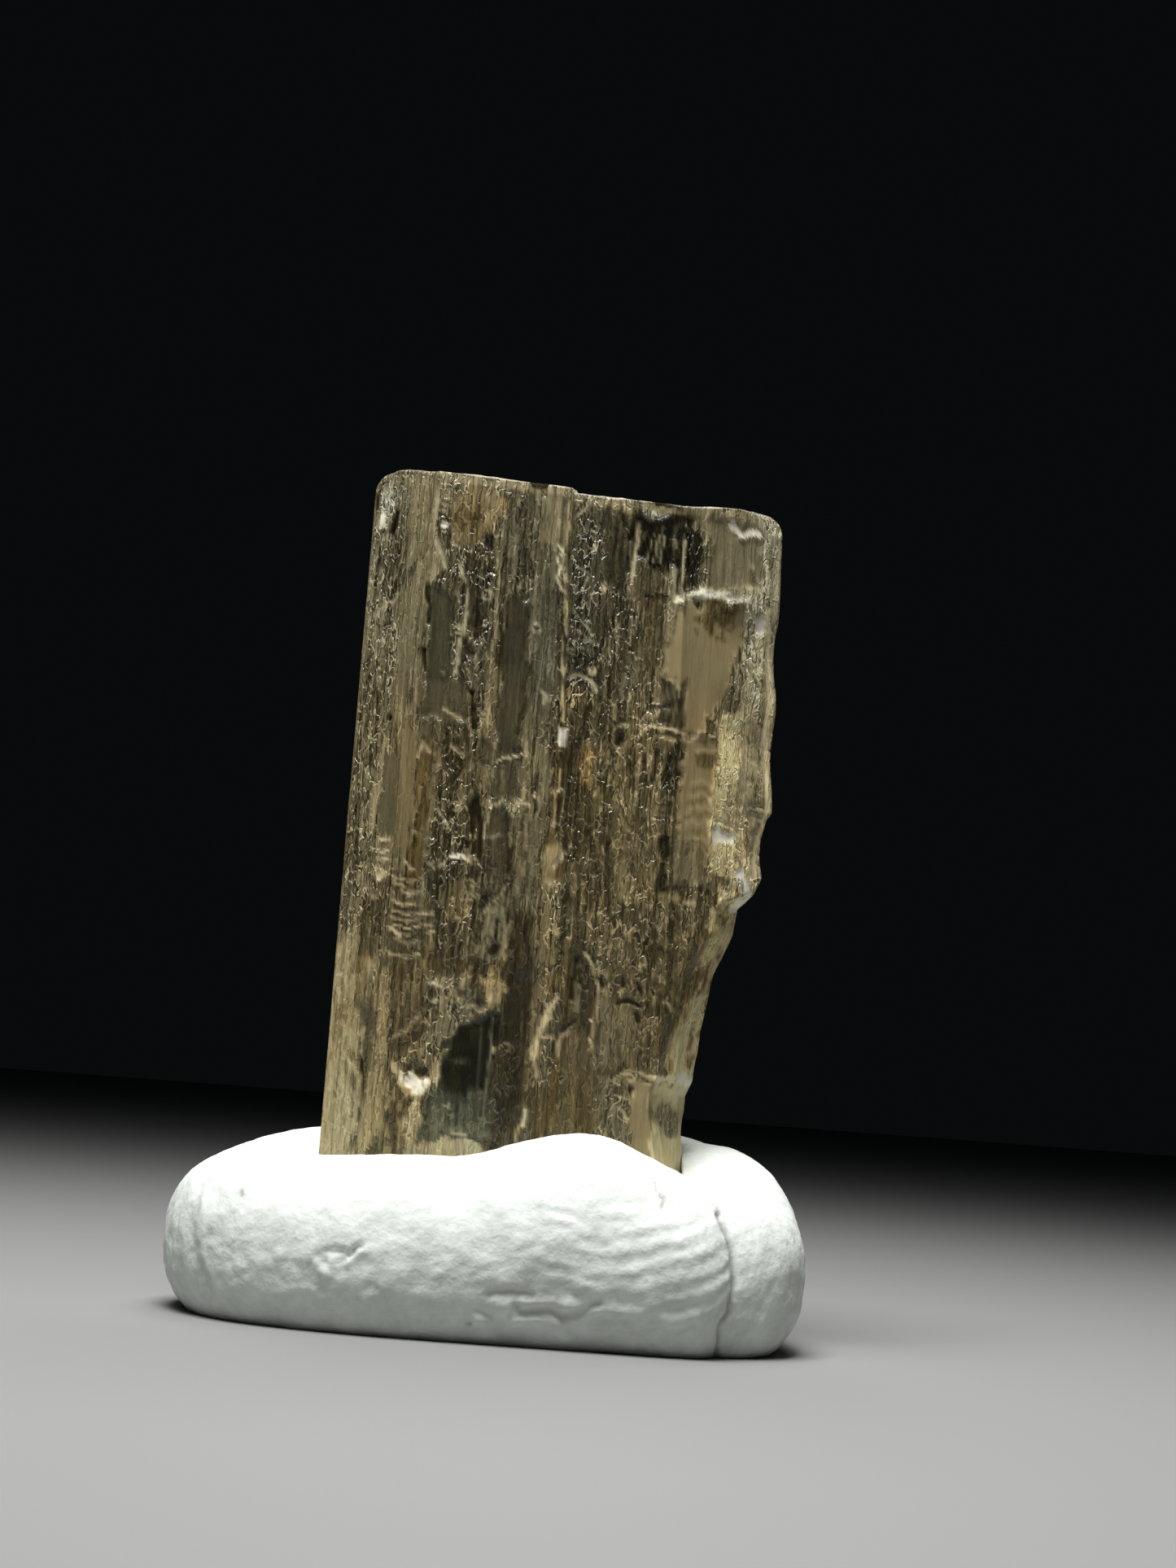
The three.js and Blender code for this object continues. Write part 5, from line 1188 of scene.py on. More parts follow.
    def side(self, c: Columns, z: np.ndarray, extra: np.ndarray, level: np.ndarray) -> np.ndarray:
        """Points of the sides at heights z.

        A point is its line's place on the section less what is sunk there along the way out, and
        then drawn in by the taper.

        Args:
            c: the net's lines.
            z: heights, (rows, columns).
            extra: how much deeper than its ledge each point lies.
            level: how far the ledges are evened out at each point, 0 to 1.

        Returns:
            Points, (rows, columns, 3).
        """
        sunk = mix(self.ledge_sink(c.ledge_a, z), self.ledge_sink(c.ledge_b, z), c.share)
        sunk = mix(sunk, self.even_depth, level)
        fading_in = np.where(c.ledge_a < 0, c.share, 1)
        fading_out = np.where(c.ledge_b < 0, 1 - c.share, 1)
        on_front = (c.out[:, 1] < -0.9) * fading_in * fading_out
        sunk = sunk + on_front * self.front_sink(c.at[:, 0], z)
        sunk = sunk + (c.out[:, 0] > 0.5) * self.right_sink(c.at[:, 0], z) + extra
        narrow = 1 - self.taper * (z - self.taper_height)
        x = self.left + (c.at[:, 0] - c.out[:, 0] * sunk - self.left) * narrow
        y = (c.at[:, 1] - c.out[:, 1] * sunk) * narrow
        return np.stack([x, y, z], axis=-1)

    def broken(self, place: np.ndarray) -> np.ndarray:
        """Draws points beyond the break in towards the crystal's heart line.

        A point is moved along the level line from the heart to it, by halving, until its x is the
        break's at its own depth and height.
        """
        cx, cy = self.heart
        dx, dy = place[..., 0] - cx, place[..., 1] - cy
        low, high = np.zeros(dx.shape), np.ones(dx.shape)
        beyond = place[..., 0] > self.break_edge(place[..., 1], place[..., 2])
        for _ in range(self.halvings):
            half = (low + high) / 2
            over = cx + half * dx > self.break_edge(cy + half * dy, place[..., 2])
            low, high = np.where(over, low, half), np.where(over, half, high)
        share = np.where(beyond, low, 1.0)
        moved = place.copy()
        moved[..., 0] = cx + share * dx
        moved[..., 1] = cy + share * dy
        return moved

    def net(
        self, c: Columns, relief: np.ndarray | float = 0.0, level: np.ndarray | float = 0.0
    ) -> tuple[np.ndarray, np.ndarray]:
        """The whole skin but its two poles, from the top's innermost ring to the foot's.

        The rounding rows follow a quarter circle of corner_round's size: they lie lower by one
        less the cosine and further in by one less the sine of their angle.

        Args:
            c: the net's lines.
            relief: how much deeper each point of the whole net lies than the plain ledges.
            level: how far the ledges are evened out at each point.

        Returns:
            Points, (rows, columns, 3), and how much each row belongs to the top, 0 to 1.
        """
        n_top, n_round = self.top_rings, self.round_rows
        n_side, n_foot = self.side_rows, self.foot_rings
        rows = n_top + n_round + n_side + n_foot
        relief = np.broadcast_to(relief, (rows, len(c.at)))
        level = np.broadcast_to(level, (rows, len(c.at)))
        sides = slice(n_top, n_top + n_round + n_side)
        highest = self.top_height(c.at[:, 0], c.at[:, 1])
        size = self.corner_round(c.at[:, 0])
        angle = (np.arange(n_round) / n_round * math.pi / 2)[:, None]
        z_round = highest - size * (1 - np.cos(angle))
        share = np.linspace(0, 1, n_side) ** self.side_spacing
        z_side = mix(highest - size, self.foot, share[:, None])
        z = np.concatenate([z_round, z_side])
        wall = self.side(c, z, relief[sides], level[sides])
        inset = np.zeros(z.shape)
        inset[:n_round] = size * (1 - np.sin(angle))
        middle = (self.left + self.right) / 2
        sideways = ramp(0.1, 0.6, np.abs(c.out[:, 0]))
        wall[..., 0] -= sideways * inset * np.sign(wall[..., 0] - middle)
        wall[..., 1] *= 1 - self.rounded_squeeze * inset
        wall = self.broken(wall)
        centre = np.array([middle, 0.0])
        inner = (np.arange(n_top) + 0.5) / (n_top + 0.5)
        top_xy = centre + (wall[0, :, :2] - centre) * inner[:, None, None] ** self.ring_spacing
        top_z = self.top_height(top_xy[..., 0], top_xy[..., 1]) - relief[:n_top]
        edge_gap = wall[0, :, 2] - self.top_height(wall[0, :, 0], wall[0, :, 1])
        top_z = top_z + edge_gap * inner[:, None] ** self.lip_sharpness
        tops = np.concatenate([top_xy, top_z[..., None]], axis=-1)
        outer = 1 - (np.arange(n_foot) + 1) / (n_foot + 1)
        foot_xy = centre + (wall[-1, :, :2] - centre) * outer[:, None, None]
        feet = np.concatenate([foot_xy, np.full((n_foot, len(c.at), 1), self.foot)], axis=-1)
        topness = np.zeros(rows)
        topness[:n_top] = 1
        topness[n_top : n_top + n_round] = 1 - np.arange(n_round) / n_round
        return np.concatenate([tops, wall, feet]), topness

    def skin(self) -> Skin:
        """The finished net: marks laid on the plain net, then the net made again with relief.

        The front half is where the way out doesn't point to the back. Smooth areas of the front,
        and the left side, have their ledges evened out.
        """
        c = self.columns()
        plain, topness = self.net(c)
        front = np.broadcast_to(ramp(0.35, 0.05, c.out[:, 1]), plain.shape[:2]).copy()
        skin = Skin(plain, front, np.broadcast_to(topness[:, None], plain.shape[:2]).copy())
        skin.lay(CRYSTAL_MARKS)
        self.grow_texture(skin)
        even = np.maximum(ramp(0.6, 0.8, skin.calm) * skin.front, ramp(0.3, 0.6, -c.out[:, 0]))
        skin.place, _ = self.net(c, skin.depth, even)
        return skin

    def grow_texture(self, skin: Skin) -> None:
        """Adds the growth striations and etching to a marked skin.

        Lengthwise noises of falling width sink the skin and lighten or darken it, grooves are
        dark, and thin wandering lines stand out light. The calmest areas keep almost none of it.
        """
        p = skin.place
        warp = p.copy()
        warp[..., 0] += 0.1 * Grain((0.35, 0.35, 0.45), 11).swing(p)
        warp[..., 1] += 0.1 * Grain((0.35, 0.35, 0.45), 12).swing(p)
        wide = Grain((0.45, 0.45, 9), 21).swing(warp)
        mid = Grain((0.2, 0.2, 4), 22).swing(warp)
        thin = Grain((0.11, 0.11, 1.6), 23).swing(warp)
        groove = Grain((0.5, 0.5, 7), 24).lines(warp, 7)
        bright = Grain((0.36, 0.36, 2.6), 25).lines(warp, 5)
        curl = Grain((0.3, 0.3, 0.42), 26).lines(warp, 5)
        still = ramp(0.55, 0.7, Grain((0.42, 0.42, 1.5), 29, 2).at(p))
        skin.calm = np.clip(np.maximum(skin.calm, 0.6 * still * skin.front), 0, 1)
        life = np.clip(1.02 - skin.calm**1.5, 0.03, 1)
        walls = 1 - skin.topness
        uneven = 0.04 * wide + 0.03 * mid + 0.03 * thin + 0.05 * groove - 0.02 * bright
        skin.depth += walls * life * uneven
        life = life * (1 - 0.2 * skin.front * (1 - ramp(9, 11, p[..., 2])))
        skin.tone += life * (0.02 * wide + 0.02 * mid + 0.03 * thin - 0.04 * groove + 0.03 * bright)
        skin.haze += life * (0.1 * wide + 0.09 * mid + 0.06 * thin - 0.12 * groove + 0.1 * bright)
        skin.haze += life * 0.1 * (curl - 0.2)
        cloud = Grain((0.8, 0.8, 1.1), 27, 3).swing(p)
        skin.tone += (0.02 + 0.07 * skin.calm) * cloud
        skin.warm += 0.4 * Grain((0.9, 0.9, 3), 28, 3).swing(p)
        # The front right bevel faces away from the lamp and is lightened to make up for it: painted
        # light.
        skin.tone += 0.04 * skin.front * ramp(3.9, 4.3, p[..., 0])
        skin.warm += 0.17 * skin.front * (1 - ramp(15, 17.5, p[..., 2])) * np.minimum(1, 3 * skin.haze)
        scuff = Grain((0.5, 0.5, 0.9), 33, 3).at(p)
        broken = (1 - skin.front) * ramp(4.3, 4.7, p[..., 0] + 0.6 * (scuff - 0.5))
        broken *= 1 - ramp(11, 12.5, p[..., 2])
        skin.tone = mix(skin.tone, 0.3 + 0.75 * scuff, broken)
        skin.haze = mix(skin.haze, 1, broken)
        grain = Grain((0.25, 0.25, 0.25), 31, 3).swing(p)
        below = self.top_height(p[..., 0], p[..., 1]) - p[..., 2]
        rim = 1 - ramp(0.22, 0.34, below + 0.25 * grain - 0.12 * band(-3.8, -2.6, 0.2, p[..., 0]))
        skin.blend(rim * walls, tone=0.46, warm=0.45, haze=1.0, calm=0.4, frost_and_glint=0.03)
        drift = Grain((1.6, 1.6, 1.6), 34, 3).swing(p)
        steps = Grain((1.5, 1.1, 1.1), 35).lines(p, 5)
        skin.depth += skin.topness * (0.03 * grain + 0.05 * drift - 0.03 * steps)
        mottled = 0.27 + 0.12 * grain + 0.25 * drift + 0.14 * steps
        skin.tone = mix(skin.tone, mottled, np.sqrt(skin.topness))
        skin.blend(skin.topness, warm=0.4, haze=0.85, calm=0.9, rough=0.5)

    def build(self, material: bpy.types.Material) -> bpy.types.Object:
        """Makes the piece that stands for the CAD crystal."""
        skin = self.skin()
        rows, cols = skin.place.shape[:2]
        poles = np.array([skin.place[0].mean(0), skin.place[-1].mean(0)])
        points = np.concatenate([skin.place.reshape(-1, 3), poles])
        mesh = closed_net("scapolite_skin", points, rows, cols)
        lower = 1 - ramp(9, 11, skin.place[..., 2])
        skin.life = np.clip(1.06 - skin.calm**1.5, 0.1, 1) * (1 - 0.2 * lower)
        for name in ("tone", "warm", "haze", "frost_and_glint", "rough", "life", "curl"):
            values = getattr(skin, name)
            ends = [values[0].mean(), values[-1].mean()]
            put_attribute(mesh, name, np.concatenate([values.ravel(), ends]))
        piece = place_piece("scapolite_prism", "scapolite_crystal", mesh, material)
        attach(piece, "root")
        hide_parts("scapolite_crystal")
        LOG.info("scapolite_prism: %d points, %d columns by %d rows", len(points), cols, rows)
        return piece


# ------------------------------------------------------------------------------------ the putty


@dataclass(frozen=True)
class Stretch:
    """One stretch of the roll: its line, and its half width and top height by share of it."""

    line: tuple[tuple[float, float], ...]
    width: tuple[tuple[float, float], ...]
    top: tuple[tuple[float, float], ...]


@dataclass
class Putty:
    """The mounting putty: a hand-made roll bent into a ring, on a pad, with the crystal's socket."""

    first: Stretch = Stretch(
        line=(
            (6.3, -2.85),
            (5.0, -3.2),
            (3, -3.4),
            (0, -3.45),
            (-3.2, -3.35),
            (-5.2, -2.6),
            (-6.05, -0.8),
            (-5.9, 1.0),
            (-4.7, 2.6),
            (-2.6, 3.35),
            (0.5, 3.5),
            (2.5, 3.5),
        ),
        width=((0, 2.2), (0.1, 2.4), (0.35, 2.4), (0.5, 2.15), (0.7, 2.15), (0.85, 2.3), (1, 2.1)),
        top=((0, 3.9), (0.16, 5.2), (0.3, 4.35), (0.45, 4.15), (0.56, 4.1), (0.75, 4.85), (1, 5.1)),
    )
    second: Stretch = Stretch(
        line=((-1, 3.4), (2, 3.5), (4.2, 3.1), (5.6, 1.8), (6.05, -0.2), (6.0, -3.4)),
        width=((0, 2.1), (0.4, 2.3), (1, 2.15)),
        top=((0, 5.0), (0.35, 5.4), (0.6, 5.05), (1, 4.0)),
    )
    lap: Stretch = Stretch(
        line=((3.6, -2.95), (5.0, -2.9), (5.95, -2.2), (6.1, -0.6), (6.05, 0.6)),
        width=((0, 2.0), (0.5, 2.12), (1, 2.0)),
        top=((0, 3.8), (0.4, 4.05), (0.7, 4.3), (1, 4.6)),
    )
    roll_sink: float = 0.5
    tip_length: float = 1.5
    squareness: float = 2.25
    pad_low: tuple[float, float, float] = (-5.6, -2.8, 0.0)
    pad_high: tuple[float, float, float] = (5.9, 2.8, 2.4)
    voxel: float = 0.085
    soften_share: float = 0.5
    soften_rounds: int = 4
    socket_gap: float = 0.03
    socket_top: float = 12.0
    ridge_spacing: float = 0.47
    ridge_height: float = 0.018
    ridge_centre: tuple[float, float] = (3.0, 7.5)
    curve_steps: int = 60
    ground_reach: float = 20.0
    ground_depth: float = 6.0
    roll_rows: int = 150
    roll_columns: int = 72

    def curve(
        self, line: tuple[tuple[float, float], ...], share: np.ndarray
    ) -> tuple[np.ndarray, np.ndarray, float]:
        """A smooth line through points, read at even shares of its length.

        Between two points it is the cubic with those ends whose slopes come from its neighbours,
        with the square roots of the distances as the steps of its parameter. The end points are
        mirrored to give the first and last piece a neighbour.

        Args:
            line: the points.
            share: shares of the whole length, 0 to 1.

        Returns:
            The places, the unit directions there, and the length.
        """
        p = np.array(line, float)
        p = np.concatenate([[2 * p[0] - p[1]], p, [2 * p[-1] - p[-2]]])
        t = np.linspace(0, 1, self.curve_steps, endpoint=False)[:, None]
        pieces = []
        for a, b, c, d in zip(p, p[1:], p[2:], p[3:]):
            d0, d1, d2 = (np.hypot(*(v - u)) ** 0.5 for u, v in ((a, b), (b, c), (c, d)))
            m1 = ((b - a) / d0 - (c - a) / (d0 + d1) + (c - b) / d1) * d1
            m2 = ((c - b) / d1 - (d - b) / (d1 + d2) + (d - c) / d2) * d1
            cube = (2 * b - 2 * c + m1 + m2) * t**3
            square = (3 * c - 3 * b - 2 * m1 - m2) * t**2
            pieces.append(cube + square + m1 * t + b)
        dense = np.concatenate([*pieces, p[-2:-1]])
        steps = np.hypot(*np.diff(dense, axis=0).T)
        run = np.concatenate([[0], np.cumsum(steps)])
        at = np.stack([np.interp(share * run[-1], run, dense[:, k]) for k in range(2)], axis=1)
        tangent = np.gradient(dense, run, axis=0)
        way = np.stack([np.interp(share * run[-1], run, tangent[:, k]) for k in range(2)], axis=1)
        return at, way / np.hypot(*way.T)[:, None], float(run[-1])

    def roll(self, stretch: Stretch, name: str) -> bpy.types.Mesh:
        """The closed skin of one stretch, in millimetres.

        Each ring is a superellipse across the line, as wide and high as the stretch says there,
        and the rings close in at both tips along a quarter circle.
        """
        rows, cols = self.roll_rows, self.roll_columns
        row = np.arange(1, rows) / rows
        share = mix(row, (1 - np.cos(math.pi * row)) / 2, 0.5)
        at, way, length = self.curve(stretch.line, share)
        blunt = np.minimum(1, np.minimum(share, 1 - share) * length / self.tip_length)
        close = np.sqrt(1 - (1 - blunt) ** 2)[:, None]
        angle = np.arange(cols) / cols * 2 * math.pi
        power = 2 / self.squareness
        cross = np.sign(np.cos(angle)) * np.abs(np.cos(angle)) ** power
        rise = np.sign(np.sin(angle)) * np.abs(np.sin(angle)) ** power
        half = (along(list(stretch.top), share, True) + self.roll_sink)[:, None] / 2
        reach = close * along(list(stretch.width), share, True)[:, None] * cross
        x = at[:, :1] + way[:, 1:] * reach
        y = at[:, 1:] - way[:, :1] * reach
        z = half - self.roll_sink + close * half * rise
        ends, _, _ = self.curve(stretch.line, np.array([0.0, 1.0]))
        levels = half[[0, -1], 0] - self.roll_sink
        poles = np.column_stack([ends, levels])
        points = np.concatenate([np.stack([x, y, z], axis=-1).reshape(-1, 3), poles])
        return closed_net(name, points, rows - 1, cols)

    def lump(self) -> bpy.types.Mesh:
        """The stretches and the pad pressed into one skin, in millimetres."""
        low, high = np.array(self.pad_low), np.array(self.pad_high)
        meshes = [self.roll(s, "roll") for s in (self.first, self.second, self.lap)]
        meshes.append(box_mesh("pad", low, high))
        one = joined_mesh("putty_lump", meshes)
        worker = bpy.data.objects.new("putty_worker", one)
        bpy.context.scene.collection.objects.link(worker)
        remesh = worker.modifiers.new("press", "REMESH")
        remesh.mode = "VOXEL"
        remesh.voxel_size = self.voxel
        smooth = worker.modifiers.new("soften", "SMOOTH")
        smooth.factor = self.soften_share
        smooth.iterations = self.soften_rounds
        pressed = baked_mesh(worker, "putty_pressed")
        bpy.data.objects.remove(worker)
        return pressed

    def socket(self, crystal: Crystal) -> bpy.types.Mesh:
        """The room for the crystal's foot, grown by the gap: a plain prism cut at the break."""
        corners = crystal.section()
        before = corners - np.roll(corners, 1, axis=0)
        after = np.roll(corners, -1, axis=0) - corners
        before /= np.hypot(*before.T)[:, None]
        after /= np.hypot(*after.T)[:, None]
        out = np.stack([before[:, 1] + after[:, 1], -before[:, 0] - after[:, 0]], axis=1)
        out /= np.hypot(*out.T)[:, None]
        half_turn = np.arccos(np.clip((before * after).sum(1), -1, 1)) / 2
        widest = 1 - crystal.taper * (crystal.foot - crystal.taper_height)
        ring = corners * widest
        ring[:, 0] = crystal.left + (corners[:, 0] - crystal.left) * widest
        ring += out * (self.socket_gap / np.cos(half_turn))[:, None]
        limit = float(along(list(crystal.right_edge), 5)) + self.socket_gap
        cut: list[tuple[float, float]] = []
        for (ax, ay), (bx, by) in zip(ring, np.roll(ring, -1, axis=0)):
            if ax <= limit:
                cut.append((ax, ay))
            if (ax - limit) * (bx - limit) < 0:
                t = (limit - ax) / (bx - ax)
                cut.append((limit, ay + t * (by - ay)))
        outline = np.array(cut)
        n = len(outline)
        levels = (crystal.foot - self.socket_gap, self.socket_top)
        points = np.concatenate([np.column_stack([outline, np.full(n, level)]) for level in levels])
        faces = [tuple(range(n))[::-1], tuple(range(n, 2 * n))]
        faces += [(i, (i + 1) % n, n + (i + 1) % n, n + i) for i in range(n)]
        mesh = bpy.data.meshes.new("socket")
        mesh.from_pydata(points.tolist(), [], faces)
        return mesh

    def relief(self, place: np.ndarray, normal: np.ndarray) -> tuple[np.ndarray, np.ndarray]:
        """How far each point stands proud, and how dark it is painted: stains on the specks, painted
        shade in the pressed-in marks.

        Skin ridges are a cosine of the distance from a far centre over the ridge spacing, pushed
        about by noise, and lie on the front right only.
        """
        lumps = 0.12 * Grain((1.8, 1.8, 1.4), 41, 3).swing(place)
        fine = 0.045 * Grain((0.26, 0.26, 0.26), 44, 3).swing(place)
        x, z = cast(place)
        front = ramp(0.2, -0.25, normal[:, 1])
        low = front * (1 - ramp(1.2, 2.6, z))
        dents = 0.1 * low * Grain((0.55, 0.55, 0.5), 47, 3).swing(place)
        wander = 0.9 * Grain((0.9, 0.9, 0.9), 51, 3).swing(place)
        away = np.hypot(x - self.ridge_centre[0], z - self.ridge_centre[1])
        ridge = np.cos(2 * math.pi * (away / self.ridge_spacing + wander))
        room = band(2.2, 6.1, 0.9, x) * band(0.6, 3.1, 0.5, z) * front
        patchy = 0.35 + 0.65 * ramp(0.35, 0.6, Grain((0.8, 0.8, 0.6), 53, 2).at(place))
        proud = lumps + fine + dents + self.ridge_height * room * patchy * ridge
        wx = x + 0.12 * Grain((0.3, 0.3, 0.3), 55, 2).swing(place)
        wz = z + 0.12 * Grain((0.3, 0.3, 0.3), 56, 2).swing(place)
        stain_and_shade = np.zeros(len(place))
        for mark in PUTTY_MARKS:
            m = mark.mask(wx, wz) * front
            proud -= mark.look.depth * m
            stain_and_shade = np.maximum(stain_and_shade, mark.look.tone * m)
        return proud, stain_and_shade

    def build(self, crystal: Crystal, material: bpy.types.Material) -> bpy.types.Object:
        """Makes the piece that stands for the CAD putty."""
        mesh = self.lump()
        place, normal = points_of(mesh), normals_of(mesh)
        proud, stain_and_shade = self.relief(place, normal)
        put_points(mesh, place + normal * proud[:, None])
        put_attribute(mesh, "stain_and_shade", stain_and_shade)
        worker = bpy.data.objects.new("putty_worker", mesh)
        bpy.context.scene.collection.objects.link(worker)
        wide = self.ground_reach
        low, high = np.array([-wide, -wide, -self.ground_depth]), np.array([wide, wide, 0.0])
        ground = box_mesh("ground", low, high)
        for name, tool_mesh in (("socket", self.socket(crystal)), ("ground", ground)):
            tool = bpy.data.objects.new(name, tool_mesh)
            bpy.context.scene.collection.objects.link(tool)
            cut = worker.modifiers.new(name, "BOOLEAN")
            cut.operation = "DIFFERENCE"
            cut.solver = "EXACT"
            cut.object = tool
        final = baked_mesh(worker, "putty_skin")
        for o in (worker, bpy.data.objects["socket"], bpy.data.objects["ground"]):
            bpy.data.objects.remove(o)
        piece = place_piece("putty_ring", "putty_base", final, material)
        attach(piece, "root")
        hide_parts("putty_base")
        LOG.info("putty_ring: %d points", len(final.vertices))
        return piece


# --------------------------------------------------------------------------------- mesh helpers


def mesh_of(name: str, points: np.ndarray, loops: np.ndarray, sizes: np.ndarray) -> bpy.types.Mesh:
    """A mesh from its points and faces.

    Args:
        name: the mesh's name.
        points: the points, (count, 3).
        loops: the faces' corners, one face after another, as numbers of points.
        sizes: how many corners each face has.

    Returns:
        The mesh.
    """
    mesh = bpy.data.meshes.new(name)
    mesh.vertices.add(len(points))
    mesh.vertices.foreach_set("co", points.astype(np.float32).ravel())
    mesh.loops.add(len(loops))
    mesh.loops.foreach_set("vertex_index", loops.astype(np.int32))
    mesh.polygons.add(len(sizes))
    starts = np.concatenate([[0], np.cumsum(sizes)[:-1]])
    mesh.polygons.foreach_set("loop_start", starts.astype(np.int32))
    mesh.update(calc_edges=True)
    mesh.validate()
    return mesh


def closed_net(name: str, points: np.ndarray, rows: int, cols: int) -> bpy.types.Mesh:
    """A closed mesh from a net that wraps round, with a fan to a pole at either end.

    Args:
        name: the mesh's name.
        points: rows times cols points, then the first row's pole and the last row's.
        rows: how many rings there are.
        cols: how many points a ring has.

    Returns:
        The mesh, with its normals made to point outwards.
    """
    grid = np.arange(rows * cols).reshape(rows, cols)
    a, b = grid[:-1], grid[1:]
    quads = np.stack([a, b, np.roll(b, -1, axis=1), np.roll(a, -1, axis=1)], axis=-1).reshape(-1, 4)
    first, last = rows * cols, rows * cols + 1
    ring0, ring1 = grid[0], grid[-1]
    fan0 = np.stack([np.full(cols, first), ring0, np.roll(ring0, -1)], axis=-1)
    fan1 = np.stack([np.full(cols, last), np.roll(ring1, -1), ring1], axis=-1)
    if volume_of(points, quads, np.concatenate([fan0, fan1])) < 0:
        quads, fan0, fan1 = quads[:, ::-1], fan0[:, ::-1], fan1[:, ::-1]
    loops = np.concatenate([quads.ravel(), fan0.ravel(), fan1.ravel()])
    sizes = np.concatenate([np.full(len(quads), 4), np.full(2 * cols, 3)])
    return mesh_of(name, points, loops, sizes)


def volume_of(points: np.ndarray, quads: np.ndarray, triangles: np.ndarray) -> float:
    """The signed volume: a sixth of the sum of each triangle's triple product."""
    t = np.concatenate([quads[:, [0, 1, 2]], quads[:, [0, 2, 3]], triangles])
    a, b, c = (points[t[:, k]] for k in range(3))
    return float(np.einsum("ij,ij->", a, np.cross(b, c)) / 6)


def box_mesh(name: str, low: np.ndarray, high: np.ndarray) -> bpy.types.Mesh:
    """A box between two corners, its faces outwards."""
    corners = [[(low, high)[i >> k & 1][k] for k in range(3)] for i in range(8)]
    faces = [(0, 2, 3, 1), (4, 5, 7, 6), (0, 1, 5, 4), (2, 6, 7, 3), (0, 4, 6, 2), (1, 3, 7, 5)]
    mesh = bpy.data.meshes.new(name)
    mesh.from_pydata(corners, [], faces)
    return mesh


def joined_mesh(name: str, meshes: list[bpy.types.Mesh]) -> bpy.types.Mesh:
    """One mesh that holds the points and faces of several."""
    starts = np.cumsum([0] + [len(m.vertices) for m in meshes])
    points = np.concatenate([points_of(m) for m in meshes])
    loops = np.concatenate([numbers_of(m.loops, "vertex_index") + at for m, at in zip(meshes, starts)])
    sizes = np.concatenate([numbers_of(m.polygons, "loop_total") for m in meshes])
    return mesh_of(name, points, loops, sizes)


def baked_mesh(o: bpy.types.Object, name: str) -> bpy.types.Mesh:
    """A copy of an object's mesh with its modifiers applied."""
    bpy.context.view_layer.update()
    ready = o.evaluated_get(bpy.context.evaluated_depsgraph_get())
    mesh = bpy.data.meshes.new_from_object(ready)
    mesh.name = name
    return mesh


def numbers_of(items: bpy.types.bpy_prop_collection, name: str) -> np.ndarray:
    """One whole number of each item of a mesh."""
    flat = np.empty(len(items), np.int32)
    items.foreach_get(name, flat)
    return flat


def points_of(mesh: bpy.types.Mesh) -> np.ndarray:
    """A mesh's points, (count, 3)."""
    flat = np.empty(len(mesh.vertices) * 3, np.float32)
    mesh.vertices.foreach_get("co", flat)
    return flat.reshape(-1, 3).astype(float)


def normals_of(mesh: bpy.types.Mesh) -> np.ndarray:
    """A mesh's normals at its points, (count, 3)."""
    flat = np.empty(len(mesh.vertices) * 3, np.float32)
    mesh.vertex_normals.foreach_get("vector", flat)
    return flat.reshape(-1, 3).astype(float)


def put_points(mesh: bpy.types.Mesh, points: np.ndarray) -> None:
    """Moves a mesh's points."""
    mesh.vertices.foreach_set("co", points.astype(np.float32).ravel())
    mesh.update()


def put_attribute(mesh: bpy.types.Mesh, name: str, values: np.ndarray) -> None:
    """Gives each point of a mesh one number under a name."""
    mesh.attributes.new(name, "FLOAT", "POINT").data.foreach_set("value", values.astype(np.float32))


def place_piece(
    name: str, node: str, mesh: bpy.types.Mesh, material: bpy.types.Material
) -> bpy.types.Object:
    """Turns a mesh in raw millimetres into a smooth-shaded piece in the row frame.

    Where relief stands proud of the CAD node's box, the whole piece is drawn in by that share.

    Args:
        name: the piece's name.
        node: the CAD node that it stands for.
        mesh: its mesh, which is changed.
        material: its material.

    Returns:
        The piece, in the scene.
    """
    points = (points_of(mesh) + Placement.shift()) * MM
    own_low, own_high = points.min(0), points.max(0)
    node_low, node_high = (np.array(corner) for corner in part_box(node))
    low, high = np.maximum(own_low, node_low), np.minimum(own_high, node_high)
    put_points(mesh, low + (points - own_low) * (high - low) / (own_high - own_low))
    mesh.shade_smooth()
    mesh.materials.clear()
    mesh.materials.append(material)
    piece = bpy.data.objects.new(name, mesh)
    bpy.context.scene.collection.objects.link(piece)
    return piece


class Placement:
    """Where the raw frame lies in the row frame."""

    raw_left = -4.4802
    raw_front = -2.6574

    @classmethod
    def shift(cls) -> np.ndarray:
        """What is added to raw millimetres, from where the CAD crystal's box starts."""
        low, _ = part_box("scapolite_crystal")
        return np.array([low.x / MM - cls.raw_left, low.y / MM - cls.raw_front, 0.0])


# -------------------------------------------------------------------------------- the materials


Colour = tuple[float, float, float]
Stops = list[tuple[float, Colour]]


@dataclass(frozen=True)
class Swell:
    """A noise in a material: its swells along x, y and z in millimetres, its detail and its shift."""

    size: tuple[float, float, float]
    detail: float
    shift: float = 0.0


